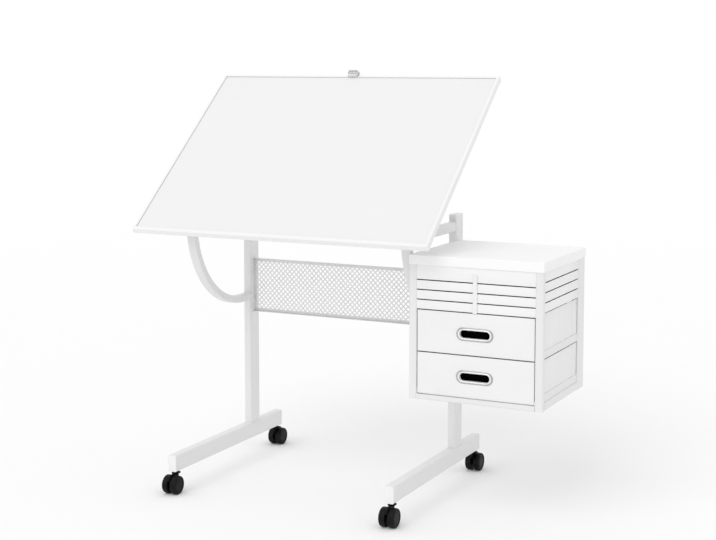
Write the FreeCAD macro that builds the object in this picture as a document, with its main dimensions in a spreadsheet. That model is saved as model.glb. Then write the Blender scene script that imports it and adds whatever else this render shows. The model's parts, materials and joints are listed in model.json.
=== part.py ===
"""Drafting table with a tilting board, a perforated panel and a hung drawer cabinet.

Millimetres and degrees.  +X runs along the table to the cabinet, +Y to the back, +Z up.
The origin is the middle of the whole table's footprint, on the floor.
"""
import FreeCAD, Part
import math
import os
import re

import Sketcher

# Driving dimensions
SIZES = {
    # Tilting board
    "board_width": 868,
    "board_depth": 638,
    "board_thick": 18,
    "board_tilt": 40,
    "board_shift": 19,
    "board_lead": 73,
    "edge_width": 8,
    "front_edge_width": 10,
    "edge_round": 3,
    "panel_drop": 2.5,
    # Stand
    "post_spacing": 644,
    "post_width": 21.5,
    "post_depth": 50,
    "post_setback": 402,
    "foot_width": 25,
    "foot_height": 44.5,
    "foot_length": 582,
    "foot_clear": 60.5,
    "tube_wall": 1.5,
    "tube_ease": 2,
    "cap_thick": 2,
    "plug_depth": 36,
    "cap_insert": 6,
    "plug_gap": 0.1,
    "arm_width": 26,
    "arm_thick": 20,
    "arm_radius": 250,
    "arm_run": 44,
    "arm_top": 730,
    "rail_width": 20,
    "rail_height": 25,
    "weld_gap": 0.2,
    "seat_gap": 0.3,
    # Tilt mechanism
    "hinge_drop": 14,
    "hinge_lift": 36,
    "steepest_tilt": 60,
    "stay_width": 22,
    "plate_thick": 3,
    "plate_gap": 0.3,
    "run_fit": 0.05,
    "pin_radius": 4,
    "pin_head_radius": 6.5,
    "pin_head_thick": 2,
    "slot_gap": 0.3,
    "lug_drop": 12,
    "lug_flare": 18,
    "lug_tip": 9,
    "flange_depth": 15,
    "channel_nose": 18,
    "channel_length": 400,
    "track_height": 20,
    "track_depth": 5,
    "track_wall": 2,
    "track_end": 9,
    "knob_radius": 15,
    "knob_length": 18,
    "stud_length": 14,
    # Perforated panel
    "mesh_bottom": 434,
    "mesh_height": 156,
    "mesh_sheet": 1.2,
    "mesh_border": 16,
    "mesh_lip": 8,
    "mesh_flange": 24,
    "mesh_pitch": 52,
    "mesh_hole": 28,
    # Cabinet
    "cabinet_width": 355,
    "cabinet_depth": 325,
    "cabinet_height": 343,
    "cabinet_bottom": 311,
    "cabinet_lead": 306,
    "stile_width": 20,
    "front_stile_depth": 15,
    "rear_stile_depth": 49,
    "base_height": 13,
    "side_rail_width": 15,
    "side_rail_height": 20.5,
    "side_panel_recess": 4,
    "side_panel_thick": 2,
    "side_panel_gap": 3,
    "top_thick": 24.5,
    "top_overhang": 1.5,
    "top_round": 2,
    # Gallery over the drawers
    "slat_pitch": 25,
    "slat_height": 22.2,
    "slat_thick": 3,
    "slat_recess": 1,
    "side_slat_lift": 11.5,
    "shelf_lift": 12.5,
    "shelf_thick": 1.5,
    "strap_width": 12,
    "strap_thick": 2,
    "strap_lap": 19,
    # Drawers
    "front_height": 105,
    "front_thick": 6,
    "front_recess": 1,
    "drawer_gap": 2.8,
    "front_reveal": 2,
    "runner_lift": 5,
    "runner_height": 20,
    "runner_thick": 2,
    "runner_inset": 3,
    "runner_reach": 12,
    "bin_inset": 6,
    "bin_depth": 300,
    "bin_height": 90,
    "bin_wall": 3,
    "ring_length": 98,
    "ring_height": 34,
    "ring_proud": 2.5,
    "pull_length": 80,
    "pull_height": 20,
    "cup_depth": 18,
    "cup_wall": 3,
    # Paper clip on the rear edge
    "clip_width": 35,
    "clip_shift": 8,
    "clip_plate": 2,
    "clip_drop": 14,
    "clip_back": 5,
    "clip_rise": 6,
    "clip_ear": 3,
    "clip_eye": 3,
    "clip_pin": 1.5,
    "clip_nose": 9,
    "clip_lever": 8,
    # Casters
    "wheel_radius": 25,
    "wheel_width": 17,
    "wheel_gap": 0.5,
    "caster_web": 7,
    "axle_radius": 4,
    "hub_radius": 12,
    "hood_gap": 1.5,
    "hood_thick": 2,
    "hood_skirt": 14,
    "caster_trail": 16,
    "boss_half": 9,
    "boss_gap": 4,
    "stem_inset": 20,
    "stem_radius": 5.5,
    "stem_rise": 28,
}

# Places worked out from the sizes
LAYOUT = {
    "frame_mid": "(board_shift + board_width/2 - post_spacing/2 - post_width/2"
                 " - cabinet_width - top_overhang)/2",
    "left_outer": "frame_mid - post_spacing/2 - post_width/2",
    "right_outer": "frame_mid + post_spacing/2 + post_width/2",
    "foot_front": "-foot_length/2",
    "foot_top": "foot_clear + foot_height",
    "post_front": "foot_front + post_setback",
    "hinge_y": "post_front - arm_run - arm_radius",
    "hinge_z": "arm_top - hinge_drop",
    "stay_reach": "(arm_run + arm_radius - pin_radius - slot_gap - track_end - plate_gap)/2",
    "post_height": "hinge_z + hinge_lift - plate_thick - seat_gap - cap_thick - foot_top",
    "channel_in": "max(arm_width; post_width; rail_width + track_depth) + plate_gap",
    "stay_in": "channel_in + plate_thick + plate_gap",
    "board_left": "frame_mid - board_shift - board_width/2",
    "board_rear": "board_depth - board_lead",
    "board_top": "hinge_lift + board_thick",
    "mesh_plane": "post_front + post_depth/2",
    "cab_front": "post_front - cabinet_lead",
    "cab_rear": "cab_front + cabinet_depth",
    "cab_right": "right_outer + cabinet_width",
    "cab_top": "cabinet_bottom + cabinet_height",
    "bay_left": "right_outer + stile_width",
    "bay_right": "cab_right - stile_width",
    "bay_width": "cabinet_width - 2*stile_width",
    "side_front": "cab_front + front_stile_depth",
    "side_run": "cabinet_depth - front_stile_depth - rear_stile_depth",
    "drawer_pitch": "front_height + drawer_gap",
    "first_front": "cabinet_bottom + base_height + drawer_gap",
    "gallery_bottom": "first_front + 2*drawer_pitch",
    "shelf_bottom": "gallery_bottom + shelf_lift",
    "slat_front": "cab_front + slat_recess",
    "slat_rear": "cab_rear - slat_recess",
    "front_face": "cab_front + front_recess",
    "hood_radius": "wheel_radius + hood_gap + hood_thick",
    "wheel_inner": "caster_web/2 + wheel_gap",
    "caster_half": "wheel_inner + wheel_width",
}

doc = FreeCAD.newDocument("drafting_table")
nodes = []


def add_sheet(name, cells):
    """Makes a sheet with one aliased cell for each entry."""
    sheet = doc.addObject("Spreadsheet::Sheet", name)
    for row, (alias, text) in enumerate(cells.items(), 1):
        sheet.set(f"A{row}", alias)
        sheet.set(f"B{row}", text)
        sheet.setAlias(f"B{row}", alias)
    doc.recompute()
    return sheet


def prefixed(text, sheets):
    """Puts the sheet's name before each alias in a formula."""
    def named(match):
        word = match.group()
        return next((f"{sheet}.{word}" for sheet, cells in sheets.items() if word in cells), word)
    return re.sub(r"[a-z][a-z0-9_]*", named, text)


def formula(text):
    """An expression on the two sheets."""
    return prefixed(str(text), {"Sizes": SIZES, "Layout": LAYOUT})


sizes = add_sheet("Sizes", {alias: str(value) for alias, value in SIZES.items()})
layout = add_sheet("Layout", {alias: "=" + prefixed(text, {"Sizes": SIZES})
                              for alias, text in LAYOUT.items()})


# Placing and combining

AXIS_TURNS = {"x": ("0; 1; 0", 90), "y": ("1; 0; 0", -90), "z": ("0; 0; 1", 0)}
HEAD_SIDES = 6
KNOB_SIDES = 8
WHEEL_SIDES = 36


def put(item, x, y, z, axis="0; 0; 1", angle=0):
    """Binds an object's placement to formulas."""
    place = f"placement(vector({x}; {y}; {z}); rotation(vector({axis}); {angle}))"
    item.setExpression("Placement", formula(place))
    return item


def put_on_board(item, x=0, along=0, up=0):
    """Places an object in the tilted board's frame: along it from the hinge, and up from the hinge."""
    y = f"hinge_y + ({along})*cos(board_tilt) - ({up})*sin(board_tilt)"
    z = f"hinge_z + ({along})*sin(board_tilt) + ({up})*cos(board_tilt)"
    return put(item, x, y, z, "1; 0; 0", "board_tilt")


def bound(kind, name, **formulas):
    """Adds a primitive whose properties follow formulas."""
    item = doc.addObject(kind, name)
    for prop, text in formulas.items():
        item.setExpression(prop, formula(text))
    return item


def block(name, x, y, z, dx, dy, dz):
    """A box from its lowest corner."""
    return put(bound("Part::Box", name, Length=dx, Width=dy, Height=dz), x, y, z)


def rod(name, x, y, z, radius, length, axis):
    """A cylinder from its end, along one axis."""
    turn_axis, angle = AXIS_TURNS[axis]
    return put(bound("Part::Cylinder", name, Radius=radius, Height=length), x, y, z, turn_axis, angle)


def prism(name, x, y, z, radius, length, sides):
    """An even-sided bar from its end, along X."""
    item = bound("Part::Prism", name, Circumradius=radius, Height=length)
    item.Polygon = sides
    return put(item, x, y, z, *AXIS_TURNS["x"])


def fuse(name, *pieces):
    """One solid from several that overlap or share a face."""
    item = doc.addObject("Part::MultiFuse", name)
    item.Shapes = list(pieces)
    item.Refine = True
    return item


def group(name, *pieces):
    """Separate solids kept together."""
    item = doc.addObject("Part::Compound", name)
    item.Links = list(pieces)
    return item


def cut(name, base, *tools):
    """A solid with others taken out of it."""
    item = doc.addObject("Part::Cut", name)
    item.Base = base
    item.Tool = tools[0] if len(tools) == 1 else group(f"{name}_tools", *tools)
    return item


def common(name, base, tool):
    """What two solids share."""
    item = doc.addObject("Part::Common", name)
    item.Base = base
    item.Tool = tool
    return item


def keep(item):
    """Registers a finished sub-part under its label."""
    nodes.append(item)
    return item


# Sketched bodies

def sketch_on(body, name, role):
    """A sketch on one of the body's own planes."""
    sketch = body.newObject("Sketcher::SketchObject", name)
    plane = next(item for item in body.Origin.OriginFeatures if item.Role == role)
    sketch.AttachmentSupport = [(plane, "")]
    sketch.MapMode = "FlatFace"
    return sketch


def measured(text):
    """A formula's value now, so that a sketch starts at its right size."""
    return float(layout.evalExpression(formula(text)))


def dimension(sketch, kind, *where, value):
    """Adds a sized constraint that follows a formula."""
    index = sketch.addConstraint(Sketcher.Constraint(kind, *where, measured(value)))
    sketch.setExpression(f"Constraints[{index}]", formula(value))


def add_line(sketch, start, end):
    """Adds a straight line between two points of the sketch."""
    return sketch.addGeometry(Part.LineSegment(FreeCAD.Vector(*start, 0), FreeCAD.Vector(*end, 0)))


def add_arc(sketch, centre, radius, start, sweep):
    """Adds an arc, anticlockwise from a start angle."""
    circle = Part.Circle(FreeCAD.Vector(*centre, 0), FreeCAD.Vector(0, 0, 1), radius)
    begin = math.radians(start)
    return sketch.addGeometry(Part.ArcOfCircle(circle, begin, begin + math.radians(sweep)))


def draw_rectangle(sketch, width, height):
    """A rectangle about the sketch's origin."""
    first = sketch.GeometryCount
    across, up = measured(width) / 2, measured(height) / 2
    corners = ((-across, -up), (across, -up), (across, up), (-across, up))
    for index, corner in enumerate(corners):
        add_line(sketch, corner, corners[(index + 1) % 4])
    for index in range(4):
        follower = first + (index + 1) % 4
        sketch.addConstraint(Sketcher.Constraint("Coincident", first + index, 2, follower, 1))
        direction = "Vertical" if index % 2 else "Horizontal"
        sketch.addConstraint(Sketcher.Constraint(direction, first + index))
    sketch.addConstraint(Sketcher.Constraint("Symmetric", first, 1, first + 1, 2, -1, 1))
    dimension(sketch, "DistanceX", first, 1, first, 2, value=width)
    dimension(sketch, "DistanceY", first + 1, 1, first + 1, 2, value=height)


def draw_slot(sketch, length, height):
    """A round-ended slot about the sketch's origin."""
    first = sketch.GeometryCount
    radius = measured(height) / 2
    centre = measured(length) / 2 - radius
    add_line(sketch, (-centre, -radius), (centre, -radius))
    add_arc(sketch, (centre, 0), radius, -90, 180)
    add_line(sketch, (centre, radius), (-centre, radius))
    add_arc(sketch, (-centre, 0), radius, 90, 180)
    for index in range(4):
        follower = first + (index + 1) % 4
        sketch.addConstraint(Sketcher.Constraint("Tangent", first + index, 2, follower, 1))
    sketch.addConstraint(Sketcher.Constraint("Horizontal", first))
    sketch.addConstraint(Sketcher.Constraint("Equal", first + 1, first + 3))
    sketch.addConstraint(Sketcher.Constraint("Symmetric", first + 1, 3, first + 3, 3, -1, 1))
    dimension(sketch, "DistanceX", first + 3, 3, first + 1, 3, value=f"({length}) - ({height})")
    dimension(sketch, "Radius", first + 1, value=f"({height})/2")


def pad(body, sketch, length, backwards=False):
    """Adds the sketch's area, out to a length."""
    feature = body.newObject("PartDesign::Pad", f"{sketch.Name}_pad")
    feature.Profile = sketch
    feature.setExpression("Length", formula(length))
    feature.Reversed = backwards
    doc.recompute()
    return feature


def pocket(body, sketch, depth):
    """Takes the sketch's area out of the body, and makes sure that it did."""
    before = body.Shape.Volume
    feature = body.newObject("PartDesign::Pocket", f"{sketch.Name}_pocket")
    feature.Profile = sketch
    feature.setExpression("Length", formula(depth))
    doc.recompute()
    if not body.Shape.Volume < before:
        raise ValueError(f"{feature.Name} takes nothing out of {body.Label}")
    return feature


def dress_edges(body, kind, feature, size, chosen):
    """Rounds or bevels the feature's edges that a test picks."""
    names = [f"Edge{number}" for number, edge in enumerate(feature.Shape.Edges, 1) if chosen(edge)]
    dressing = body.newObject(kind, f"{feature.Name}_dressed")
    dressing.Base = (feature, names)
    dressing.setExpression("Radius" if kind.endswith("Fillet") else "Size", formula(size))
    doc.recompute()
    return dressing


def corner_edge(feature, run, facing=None):
    """A test for a feature's outermost edges along one axis, on every side or on one (axis, sign)."""
    box = feature.Shape.BoundBox
    limits = ((box.XMin, box.XMax), (box.YMin, box.YMax), (box.ZMin, box.ZMax))

    def chosen(edge):
        start, end = edge.Vertexes[0].Point, edge.Vertexes[-1].Point
        for axis in range(3):
            sides = limits[axis]
            if facing and axis == facing[0]:
                sides = sides[facing[1] > 0:][:1]
            if axis != run and (abs(start[axis] - end[axis]) > 1e-3
                                or min(abs(start[axis] - side) for side in sides) > 1e-3):
                return False
        return True
    return chosen


def new_body(name):
    """An empty sketched body."""
    return doc.addObject("PartDesign::Body", name)


PLANE_RUNS = {"YZ_Plane": 0, "XZ_Plane": 1, "XY_Plane": 2}


def tube(name, role, width, height, length):
    """A hollow tube with eased corners, drawn on one plane and run out from it along +X, +Y or +Z."""
    body = new_body(name)
    section = sketch_on(body, f"{name}_section", role)
    draw_rectangle(section, width, height)
    draw_rectangle(section, f"{width} - 2*tube_wall", f"{height} - 2*tube_wall")
    run = pad(body, section, length, backwards=role == "XZ_Plane")
    dress_edges(body, "PartDesign::Chamfer", run, "tube_ease", corner_edge(run, PLANE_RUNS[role]))
    return body


def tube_plug(name, role, width, height, depth):
    """A moulded plug: a cap plate on the tube's end and a block that fills the tube."""
    body = new_body(name)
    plate = sketch_on(body, f"{name}_plate", role)
    draw_rectangle(plate, width, height)
    cap = pad(body, plate, "cap_thick")
    dress_edges(body, "PartDesign::Chamfer", cap, "tube_ease", corner_edge(cap, PLANE_RUNS[role]))
    insert = sketch_on(body, f"{name}_insert", role)
    fit = "2*(tube_wall + plug_gap)"
    draw_rectangle(insert, f"{width} - {fit}", f"{height} - {fit}")
    pad(body, insert, depth, backwards=True)
    return body


class Side:
    """One of the two side frames: distances run inwards from its outer face."""

    def __init__(self, name, outer, sign):
        self.name = name
        self.outer = outer
        self.sign = sign

    def at(self, inwards):
        """The X at a distance inwards from the outer face."""
        return f"({self.outer} - {self.sign}*({inwards}))"

    def low(self, near, far):
        """The lower X of a span between two distances inwards."""
        return self.at(far) if self.sign > 0 else self.at(near)


SIDES = (Side("left", "left_outer", -1), Side("right", "right_outer", 1))


# Stand

FOOT_ENDS = (("front", "foot_front", "stem_inset", -1),
             ("rear", "foot_front + foot_length", "-stem_inset", 1))


def build_stand(side):
    """A foot, a post, a curved arm and the rail that ties them, for one side."""
    centre = side.at("post_width/2")
    foot_middle = "foot_clear + foot_height/2"
    run = tube(f"{side.name}_foot_tube", "XZ_Plane", "foot_width", "foot_height", "foot_length - 2*cap_thick")
    put(run, centre, "foot_front + cap_thick", foot_middle)
    holes = [rod(f"{side.name}_{end}_stem_hole", centre, f"{start} + {inset}", "foot_clear - tube_wall",
                 "stem_radius + 2*run_fit", "3*tube_wall", "z") for end, start, inset, _ in FOOT_ENDS]
    keep(cut(f"{side.name}_foot", run, *holes))

    post = tube(f"{side.name}_post", "XY_Plane", "post_width", "post_depth", "post_height")
    keep(put(post, centre, "mesh_plane", "foot_top"))
    build_arm(side)

    rail = tube(f"{side.name}_rail_tube", "XZ_Plane", "rail_width", "rail_height", "arm_run + arm_radius")
    put(rail, side.at("rail_width/2"), "hinge_y", "hinge_z")
    inside = rod(f"{side.name}_rail_cope", side.low("0", "rail_width"), "post_front - arm_run", "arm_top",
                 "arm_radius - arm_thick/2 - weld_gap", "rail_width", "x")
    keep(common(f"{side.name}_rail", rail, inside))


def build_arm(side):
    """The quarter-round tube from the post up to the hinge."""
    name = f"{side.name}_arm"
    body = new_body(f"{name}_tube")
    path = sketch_on(body, f"{name}_path", "YZ_Plane")
    run, radius = measured("arm_run"), measured("arm_radius")
    add_line(path, (0, 0), (-run, 0))
    add_arc(path, (-run, radius), radius, 180, 90)
    path.addConstraint(Sketcher.Constraint("Coincident", 0, 1, -1, 1))
    path.addConstraint(Sketcher.Constraint("Horizontal", 0))
    path.addConstraint(Sketcher.Constraint("Tangent", 0, 2, 1, 2))
    path.addConstraint(Sketcher.Constraint("Horizontal", 1, 3, 1, 1))
    dimension(path, "DistanceX", 0, 2, 0, 1, value="arm_run")
    dimension(path, "Radius", 1, value="arm_radius")
    section = sketch_on(body, f"{name}_section", "XZ_Plane")
    draw_rectangle(section, "arm_width", "arm_thick")
    draw_rectangle(section, "arm_width - 2*tube_wall", "arm_thick - 2*tube_wall")
    doc.recompute()
    pipe = body.newObject("PartDesign::AdditivePipe", f"{name}_pipe")
    pipe.Profile = section
    pipe.Spine = (path, ["Edge1", "Edge2"])
    doc.recompute()
    put(body, side.at("arm_width/2"), "post_front", "arm_top - arm_radius")
    bore = rod(f"{name}_bore", side.low("-tube_wall", "arm_width + tube_wall"), "hinge_y", "hinge_z",
               "pin_radius + run_fit", "arm_width + 2*tube_wall", "x")
    keep(cut(name, body, bore))


def build_plugs():
    """The feet's end plugs with their stem sockets, and the caps on the posts and arms."""
    plugs = []
    for side in SIDES:
        for end, start, inset, sign in FOOT_ENDS:
            name = f"{side.name}_{end}_plug"
            body = tube_plug(f"{name}_body", "XZ_Plane", "foot_width", "foot_height", "plug_depth")
            put(body, side.at("post_width/2"), f"{start} - ({sign})*cap_thick", "foot_clear + foot_height/2",
                "0; 0; 1", 0 if sign < 0 else 180)
            socket = rod(f"{name}_socket", side.at("post_width/2"), f"{start} + {inset}", "foot_clear",
                         "stem_radius + run_fit", "stem_rise + seat_gap", "z")
            plugs.append(cut(name, body, socket))
    keep(group("foot_plugs", *plugs))
    caps = []
    for side in SIDES:
        post_cap = tube_plug(f"{side.name}_post_cap", "XY_Plane", "post_width", "post_depth", "cap_insert")
        caps.append(put(post_cap, side.at("post_width/2"), "mesh_plane", "foot_top + post_height"))
        arm_cap = tube_plug(f"{side.name}_arm_cap", "XY_Plane", "arm_width", "arm_thick", "cap_insert")
        caps.append(put(arm_cap, side.at("arm_width/2"), "hinge_y", "arm_top"))
    keep(group("tube_caps", *caps))


# Perforated panel

def build_mesh_panel():
    """A folded sheet with staggered diamond holes, made as one holed face between its folds."""
    value = {alias: getattr(sizes, alias) for alias in SIZES if alias.startswith("mesh")}
    sheet, height = value["mesh_sheet"], value["mesh_height"]
    left = layout.left_outer + sizes.post_width
    width = sizes.post_spacing - sizes.post_width
    back, bottom = layout.mesh_plane, value["mesh_bottom"]

    def diamond(x, z):
        half = value["mesh_hole"] / 2
        points = [FreeCAD.Vector(x + dx * half, back, z + dz * half)
                  for dx, dz in ((1, 0), (0, 1), (-1, 0), (0, -1), (1, 0))]
        return Part.makePolygon(points)

    pitch = value["mesh_pitch"]
    columns = int((width - 2 * value["mesh_border"] - value["mesh_hole"]) / pitch)
    rows = int((height - 2 * value["mesh_border"] - value["mesh_hole"]) / pitch)
    first_x = left + width / 2 - columns * pitch / 2
    first_z = bottom + height / 2 - rows * pitch / 2
    holes = [diamond(first_x + column * pitch, first_z + row * pitch)
             for row in range(rows + 1) for column in range(columns + 1)]
    holes += [diamond(first_x + (column + 0.5) * pitch, first_z + (row + 0.5) * pitch)
              for row in range(rows) for column in range(columns)]
    corners = [FreeCAD.Vector(x, back, z) for x, z in ((left, bottom), (left + width, bottom),
               (left + width, bottom + height), (left, bottom + height), (left, bottom))]
    face = Part.Face([Part.makePolygon(corners), *holes])
    face.validate()
    flange, lip = value["mesh_flange"], value["mesh_lip"]
    folds = [Part.makeBox(sheet, flange, height, FreeCAD.Vector(x, back - flange, bottom))
             for x in (left, left + width - sheet)]
    folds += [Part.makeBox(width, lip, sheet, FreeCAD.Vector(left, back - lip, z))
              for z in (bottom, bottom + height - sheet)]
    panel = doc.addObject("Part::Feature", "mesh_panel")
    panel.Shape = face.extrude(FreeCAD.Vector(0, sheet, 0)).fuse(folds).removeSplitter()
    keep(panel)


# Tilt mechanism

def build_track(side):
    """The slotted channel on a rail's inner face, in which a stay's foot pin slides."""
    name = f"{side.name}_track"
    start = "2*stay_reach*cos(steepest_tilt) - pin_radius - slot_gap - track_end"
    length = "2*stay_reach*(1 - cos(steepest_tilt)) + 2*(pin_radius + slot_gap + track_end)"
    middle = f"hinge_y + {start} + ({length})/2"
    near = "rail_width"
    web = "rail_width + track_depth - track_wall"
    outer = block(f"{name}_bar", side.low(near, f"{near} + track_depth"), f"hinge_y + {start}",
                  "hinge_z - track_height/2", "track_depth", length, "track_height")
    hollow = "2*(pin_head_radius + slot_gap)"
    cavity = block(f"{name}_cavity", side.low(near, web), f"hinge_y + {start} + track_wall",
                   f"hinge_z - ({hollow})/2", "track_depth - track_wall", f"{length} - 2*track_wall", hollow)
    body = new_body(f"{name}_slot")
    slot = sketch_on(body, f"{name}_slot_outline", "YZ_Plane")
    draw_slot(slot, f"{length} - 2*track_end", "2*(pin_radius + slot_gap)")
    pad(body, slot, "2*track_wall")
    put(body, side.low(f"{web} - track_wall/2", f"{web} + 1.5*track_wall"), middle, "hinge_z")
    keep(cut(name, outer, cavity, body))


def build_hinge_pins():
    """The two headed pins that the board turns on."""
    pins = []
    for side in SIDES:
        name = f"{side.name}_hinge_pin"
        outside = "plate_gap + plate_thick + plate_gap"
        inside = "channel_in + plate_thick + plate_gap"
        shank = rod(f"{name}_shank", side.low(f"-({outside})", inside), "hinge_y", "hinge_z",
                    "pin_radius", f"{outside} + {inside}", "x")
        head_low = side.low(f"-({outside}) - pin_head_thick", f"-({outside})")
        head = prism(f"{name}_head", head_low, "hinge_y", "hinge_z", "pin_head_radius", "pin_head_thick",
                     HEAD_SIDES)
        pins.append(fuse(name, shank, head))
    keep(group("hinge_pins", *pins))


def build_channel(side):
    """The folded steel channel under the board, with tapered lugs for the hinge pin and the stay."""
    name = f"{side.name}_channel"
    outside, width = "plate_gap + plate_thick", "channel_in + plate_gap + 2*plate_thick"
    web = block(f"{name}_web", side.low(f"-({outside})", "channel_in + plate_thick"), "-channel_nose",
                "hinge_lift - plate_thick", width, "channel_length", "plate_thick")
    pieces = [web]
    holes = []
    plans = (("inner", "channel_in", ("0", "stay_reach")), ("outer", f"-({outside})", ("0",)))
    for wall, near, lugs in plans:
        low = side.low(near, f"{near} + plate_thick")
        pieces.append(block(f"{name}_{wall}_flange", low, "-channel_nose", "hinge_lift - flange_depth",
                            "plate_thick", "channel_length", "flange_depth"))
        for index, along in enumerate(lugs):
            label = f"{name}_{wall}_lug_{index}"
            lug = bound("Part::Wedge", label, Xmin="0", Xmax="plate_thick", X2min="0", X2max="plate_thick",
                        Ymin="0", Ymax="hinge_lift + lug_drop", Zmin="-lug_flare", Zmax="lug_flare",
                        Z2min="-lug_tip", Z2max="lug_tip")
            pieces.append(put(lug, low, along, "hinge_lift", "1; 0; 0", -90))
            bore_low = side.low(f"{near} - plate_gap", f"{near} + plate_thick + plate_gap")
            holes.append(rod(f"{label}_bore", bore_low, along, 0, "pin_radius + run_fit",
                             "plate_thick + 2*plate_gap", "x"))
    keep(put_on_board(cut(name, fuse(f"{name}_folded", *pieces), *holes)))


def build_stay(side):
    """The flat stay with its rivet, its sliding foot pin and the stud for the lock knob."""
    name = f"{side.name}_stay"
    near, far = "stay_in", "stay_in + plate_thick"
    body = new_body(f"{name}_plate")
    outline = sketch_on(body, f"{name}_outline", "YZ_Plane")
    draw_slot(outline, "stay_reach + stay_width", "stay_width")
    pad(body, outline, "plate_thick")
    put(body, side.low(near, far), "stay_reach/2", 0)
    rivet_end = "channel_in"
    head_far = "rail_width + track_depth - track_wall - slot_gap"
    head_near = f"{head_far} - pin_head_thick"
    rivet = rod(f"{name}_rivet", side.low(rivet_end, near), 0, 0, "pin_radius", f"{near} - {rivet_end}", "x")
    pin = rod(f"{name}_pin", side.low(head_near, near), "stay_reach", 0,
              "pin_radius", f"{near} - ({head_near})", "x")
    head = prism(f"{name}_pin_head", side.low(head_near, head_far), "stay_reach", 0,
                 "pin_head_radius", "pin_head_thick", HEAD_SIDES)
    stud = rod(f"{name}_stud", side.low(far, f"{far} + stud_length"), "stay_reach", 0,
               "pin_radius", "stud_length", "x")
    stay = fuse(name, body, rivet, pin, head, stud)
    reach = "stay_reach*cos(board_tilt)"
    rise = "stay_reach*sin(board_tilt)"
    keep(put(stay, 0, f"hinge_y + {reach}", f"hinge_z + {rise}", "1; 0; 0", "-board_tilt"))
    build_knob(side, f"{far} + plate_gap")


def build_knob(side, near):
    """An eight-sided grip on the stay's stud."""
    name = f"{side.name}_knob"
    far = f"{near} + knob_length"
    y = "hinge_y + 2*stay_reach*cos(board_tilt)"
    grip = prism(f"{name}_grip", side.low(near, far), y, "hinge_z", "knob_radius", "knob_length", KNOB_SIDES)
    mouth = f"{near} - plate_gap"
    bore = rod(f"{name}_bore", side.low(mouth, f"{mouth} + stud_length + seat_gap"), y, "hinge_z",
               "pin_radius + run_fit", "stud_length + seat_gap", "x")
    keep(cut(name, grip, bore))


# Tilting board

def edge_bar(name, role, width, length, outer):
    """A bar of the board's rim with its outer edges rounded; outer is -1 or 1 across its width."""
    body = new_body(name)
    section = sketch_on(body, f"{name}_section", role)
    draw_rectangle(section, width, "board_thick")
    bar = pad(body, section, length, backwards=role == "XZ_Plane")
    across = 0 if role == "XZ_Plane" else 1
    dress_edges(body, "PartDesign::Fillet", bar, "edge_round",
                corner_edge(bar, PLANE_RUNS[role], (across, outer)))
    return body


def build_board():
    """The inset panel and the four bars of its rim."""
    panel = new_body("board_panel")
    full_width = "board_width - 2*edge_width"
    full_depth = "board_depth - edge_width - front_edge_width"
    outline = sketch_on(panel, "board_panel_outline", "XY_Plane")
    draw_rectangle(outline, full_width, full_depth)
    pad(panel, outline, "board_thick - panel_drop")
    middle = "board_left + board_width/2"
    keep(put_on_board(panel, middle, f"front_edge_width - board_lead + ({full_depth})/2", "hinge_lift"))

    height = "hinge_lift + board_thick/2"
    front = edge_bar("front_edge", "YZ_Plane", "front_edge_width", "board_width", -1)
    keep(put_on_board(front, "board_left", "front_edge_width/2 - board_lead", height))
    rear = edge_bar("rear_edge", "YZ_Plane", "edge_width", "board_width", 1)
    keep(put_on_board(rear, "board_left", "board_rear - edge_width/2", height))
    ends = (("left_edge", "board_left + edge_width/2", -1),
            ("right_edge", "board_left + board_width - edge_width/2", 1))
    for name, x, outer in ends:
        bar = edge_bar(name, "XZ_Plane", "edge_width", full_depth, outer)
        keep(put_on_board(bar, x, "front_edge_width - board_lead", height))


def build_clip():
    """The spring clip near the middle of the rear edge: a back plate with ears, and a jaw between them."""
    left = "board_left + board_width/2 - clip_shift - clip_width/2"
    pivot_along, pivot_up = "board_rear + clip_back", "board_top + clip_rise"
    plate = block("clip_plate", left, "board_rear", "board_top - clip_drop",
                  "clip_width", "clip_plate", "clip_drop")
    ear_depth = "clip_back + clip_eye"
    ears = [block(f"clip_ear_{index}", x, "board_rear", "board_top - clip_plate",
                  "clip_ear", ear_depth, "clip_plate + clip_rise + clip_eye")
            for index, x in enumerate((left, f"{left} + clip_width - clip_ear"))]
    bore = rod("clip_bore", f"{left} - clip_ear", pivot_along, pivot_up, "clip_pin + run_fit",
               "clip_width + 2*clip_ear", "x")
    keep(put_on_board(cut("clip_base", fuse("clip_base_folded", plate, *ears), bore)))

    jaw_left = f"{left} + clip_ear + plate_gap"
    jaw_width = "clip_width - 2*(clip_ear + plate_gap)"
    reach = "clip_nose + clip_back"
    pin = rod("clip_jaw_pin", left, pivot_along, pivot_up, "clip_pin", "clip_width", "x")
    arm = block("clip_arm", jaw_left, f"{pivot_along} - {reach}", f"{pivot_up} - clip_plate/2",
                jaw_width, reach, "clip_plate")
    nose = block("clip_nose_lip", jaw_left, f"{pivot_along} - {reach}", "board_top + seat_gap",
                 jaw_width, "clip_plate", "clip_rise - seat_gap")
    lever = block("clip_lever_plate", jaw_left, f"{pivot_along} - clip_plate/2", pivot_up,
                  jaw_width, "clip_plate", "clip_lever")
    keep(put_on_board(fuse("clip_jaw", pin, arm, nose, lever)))


# Cabinet

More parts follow.
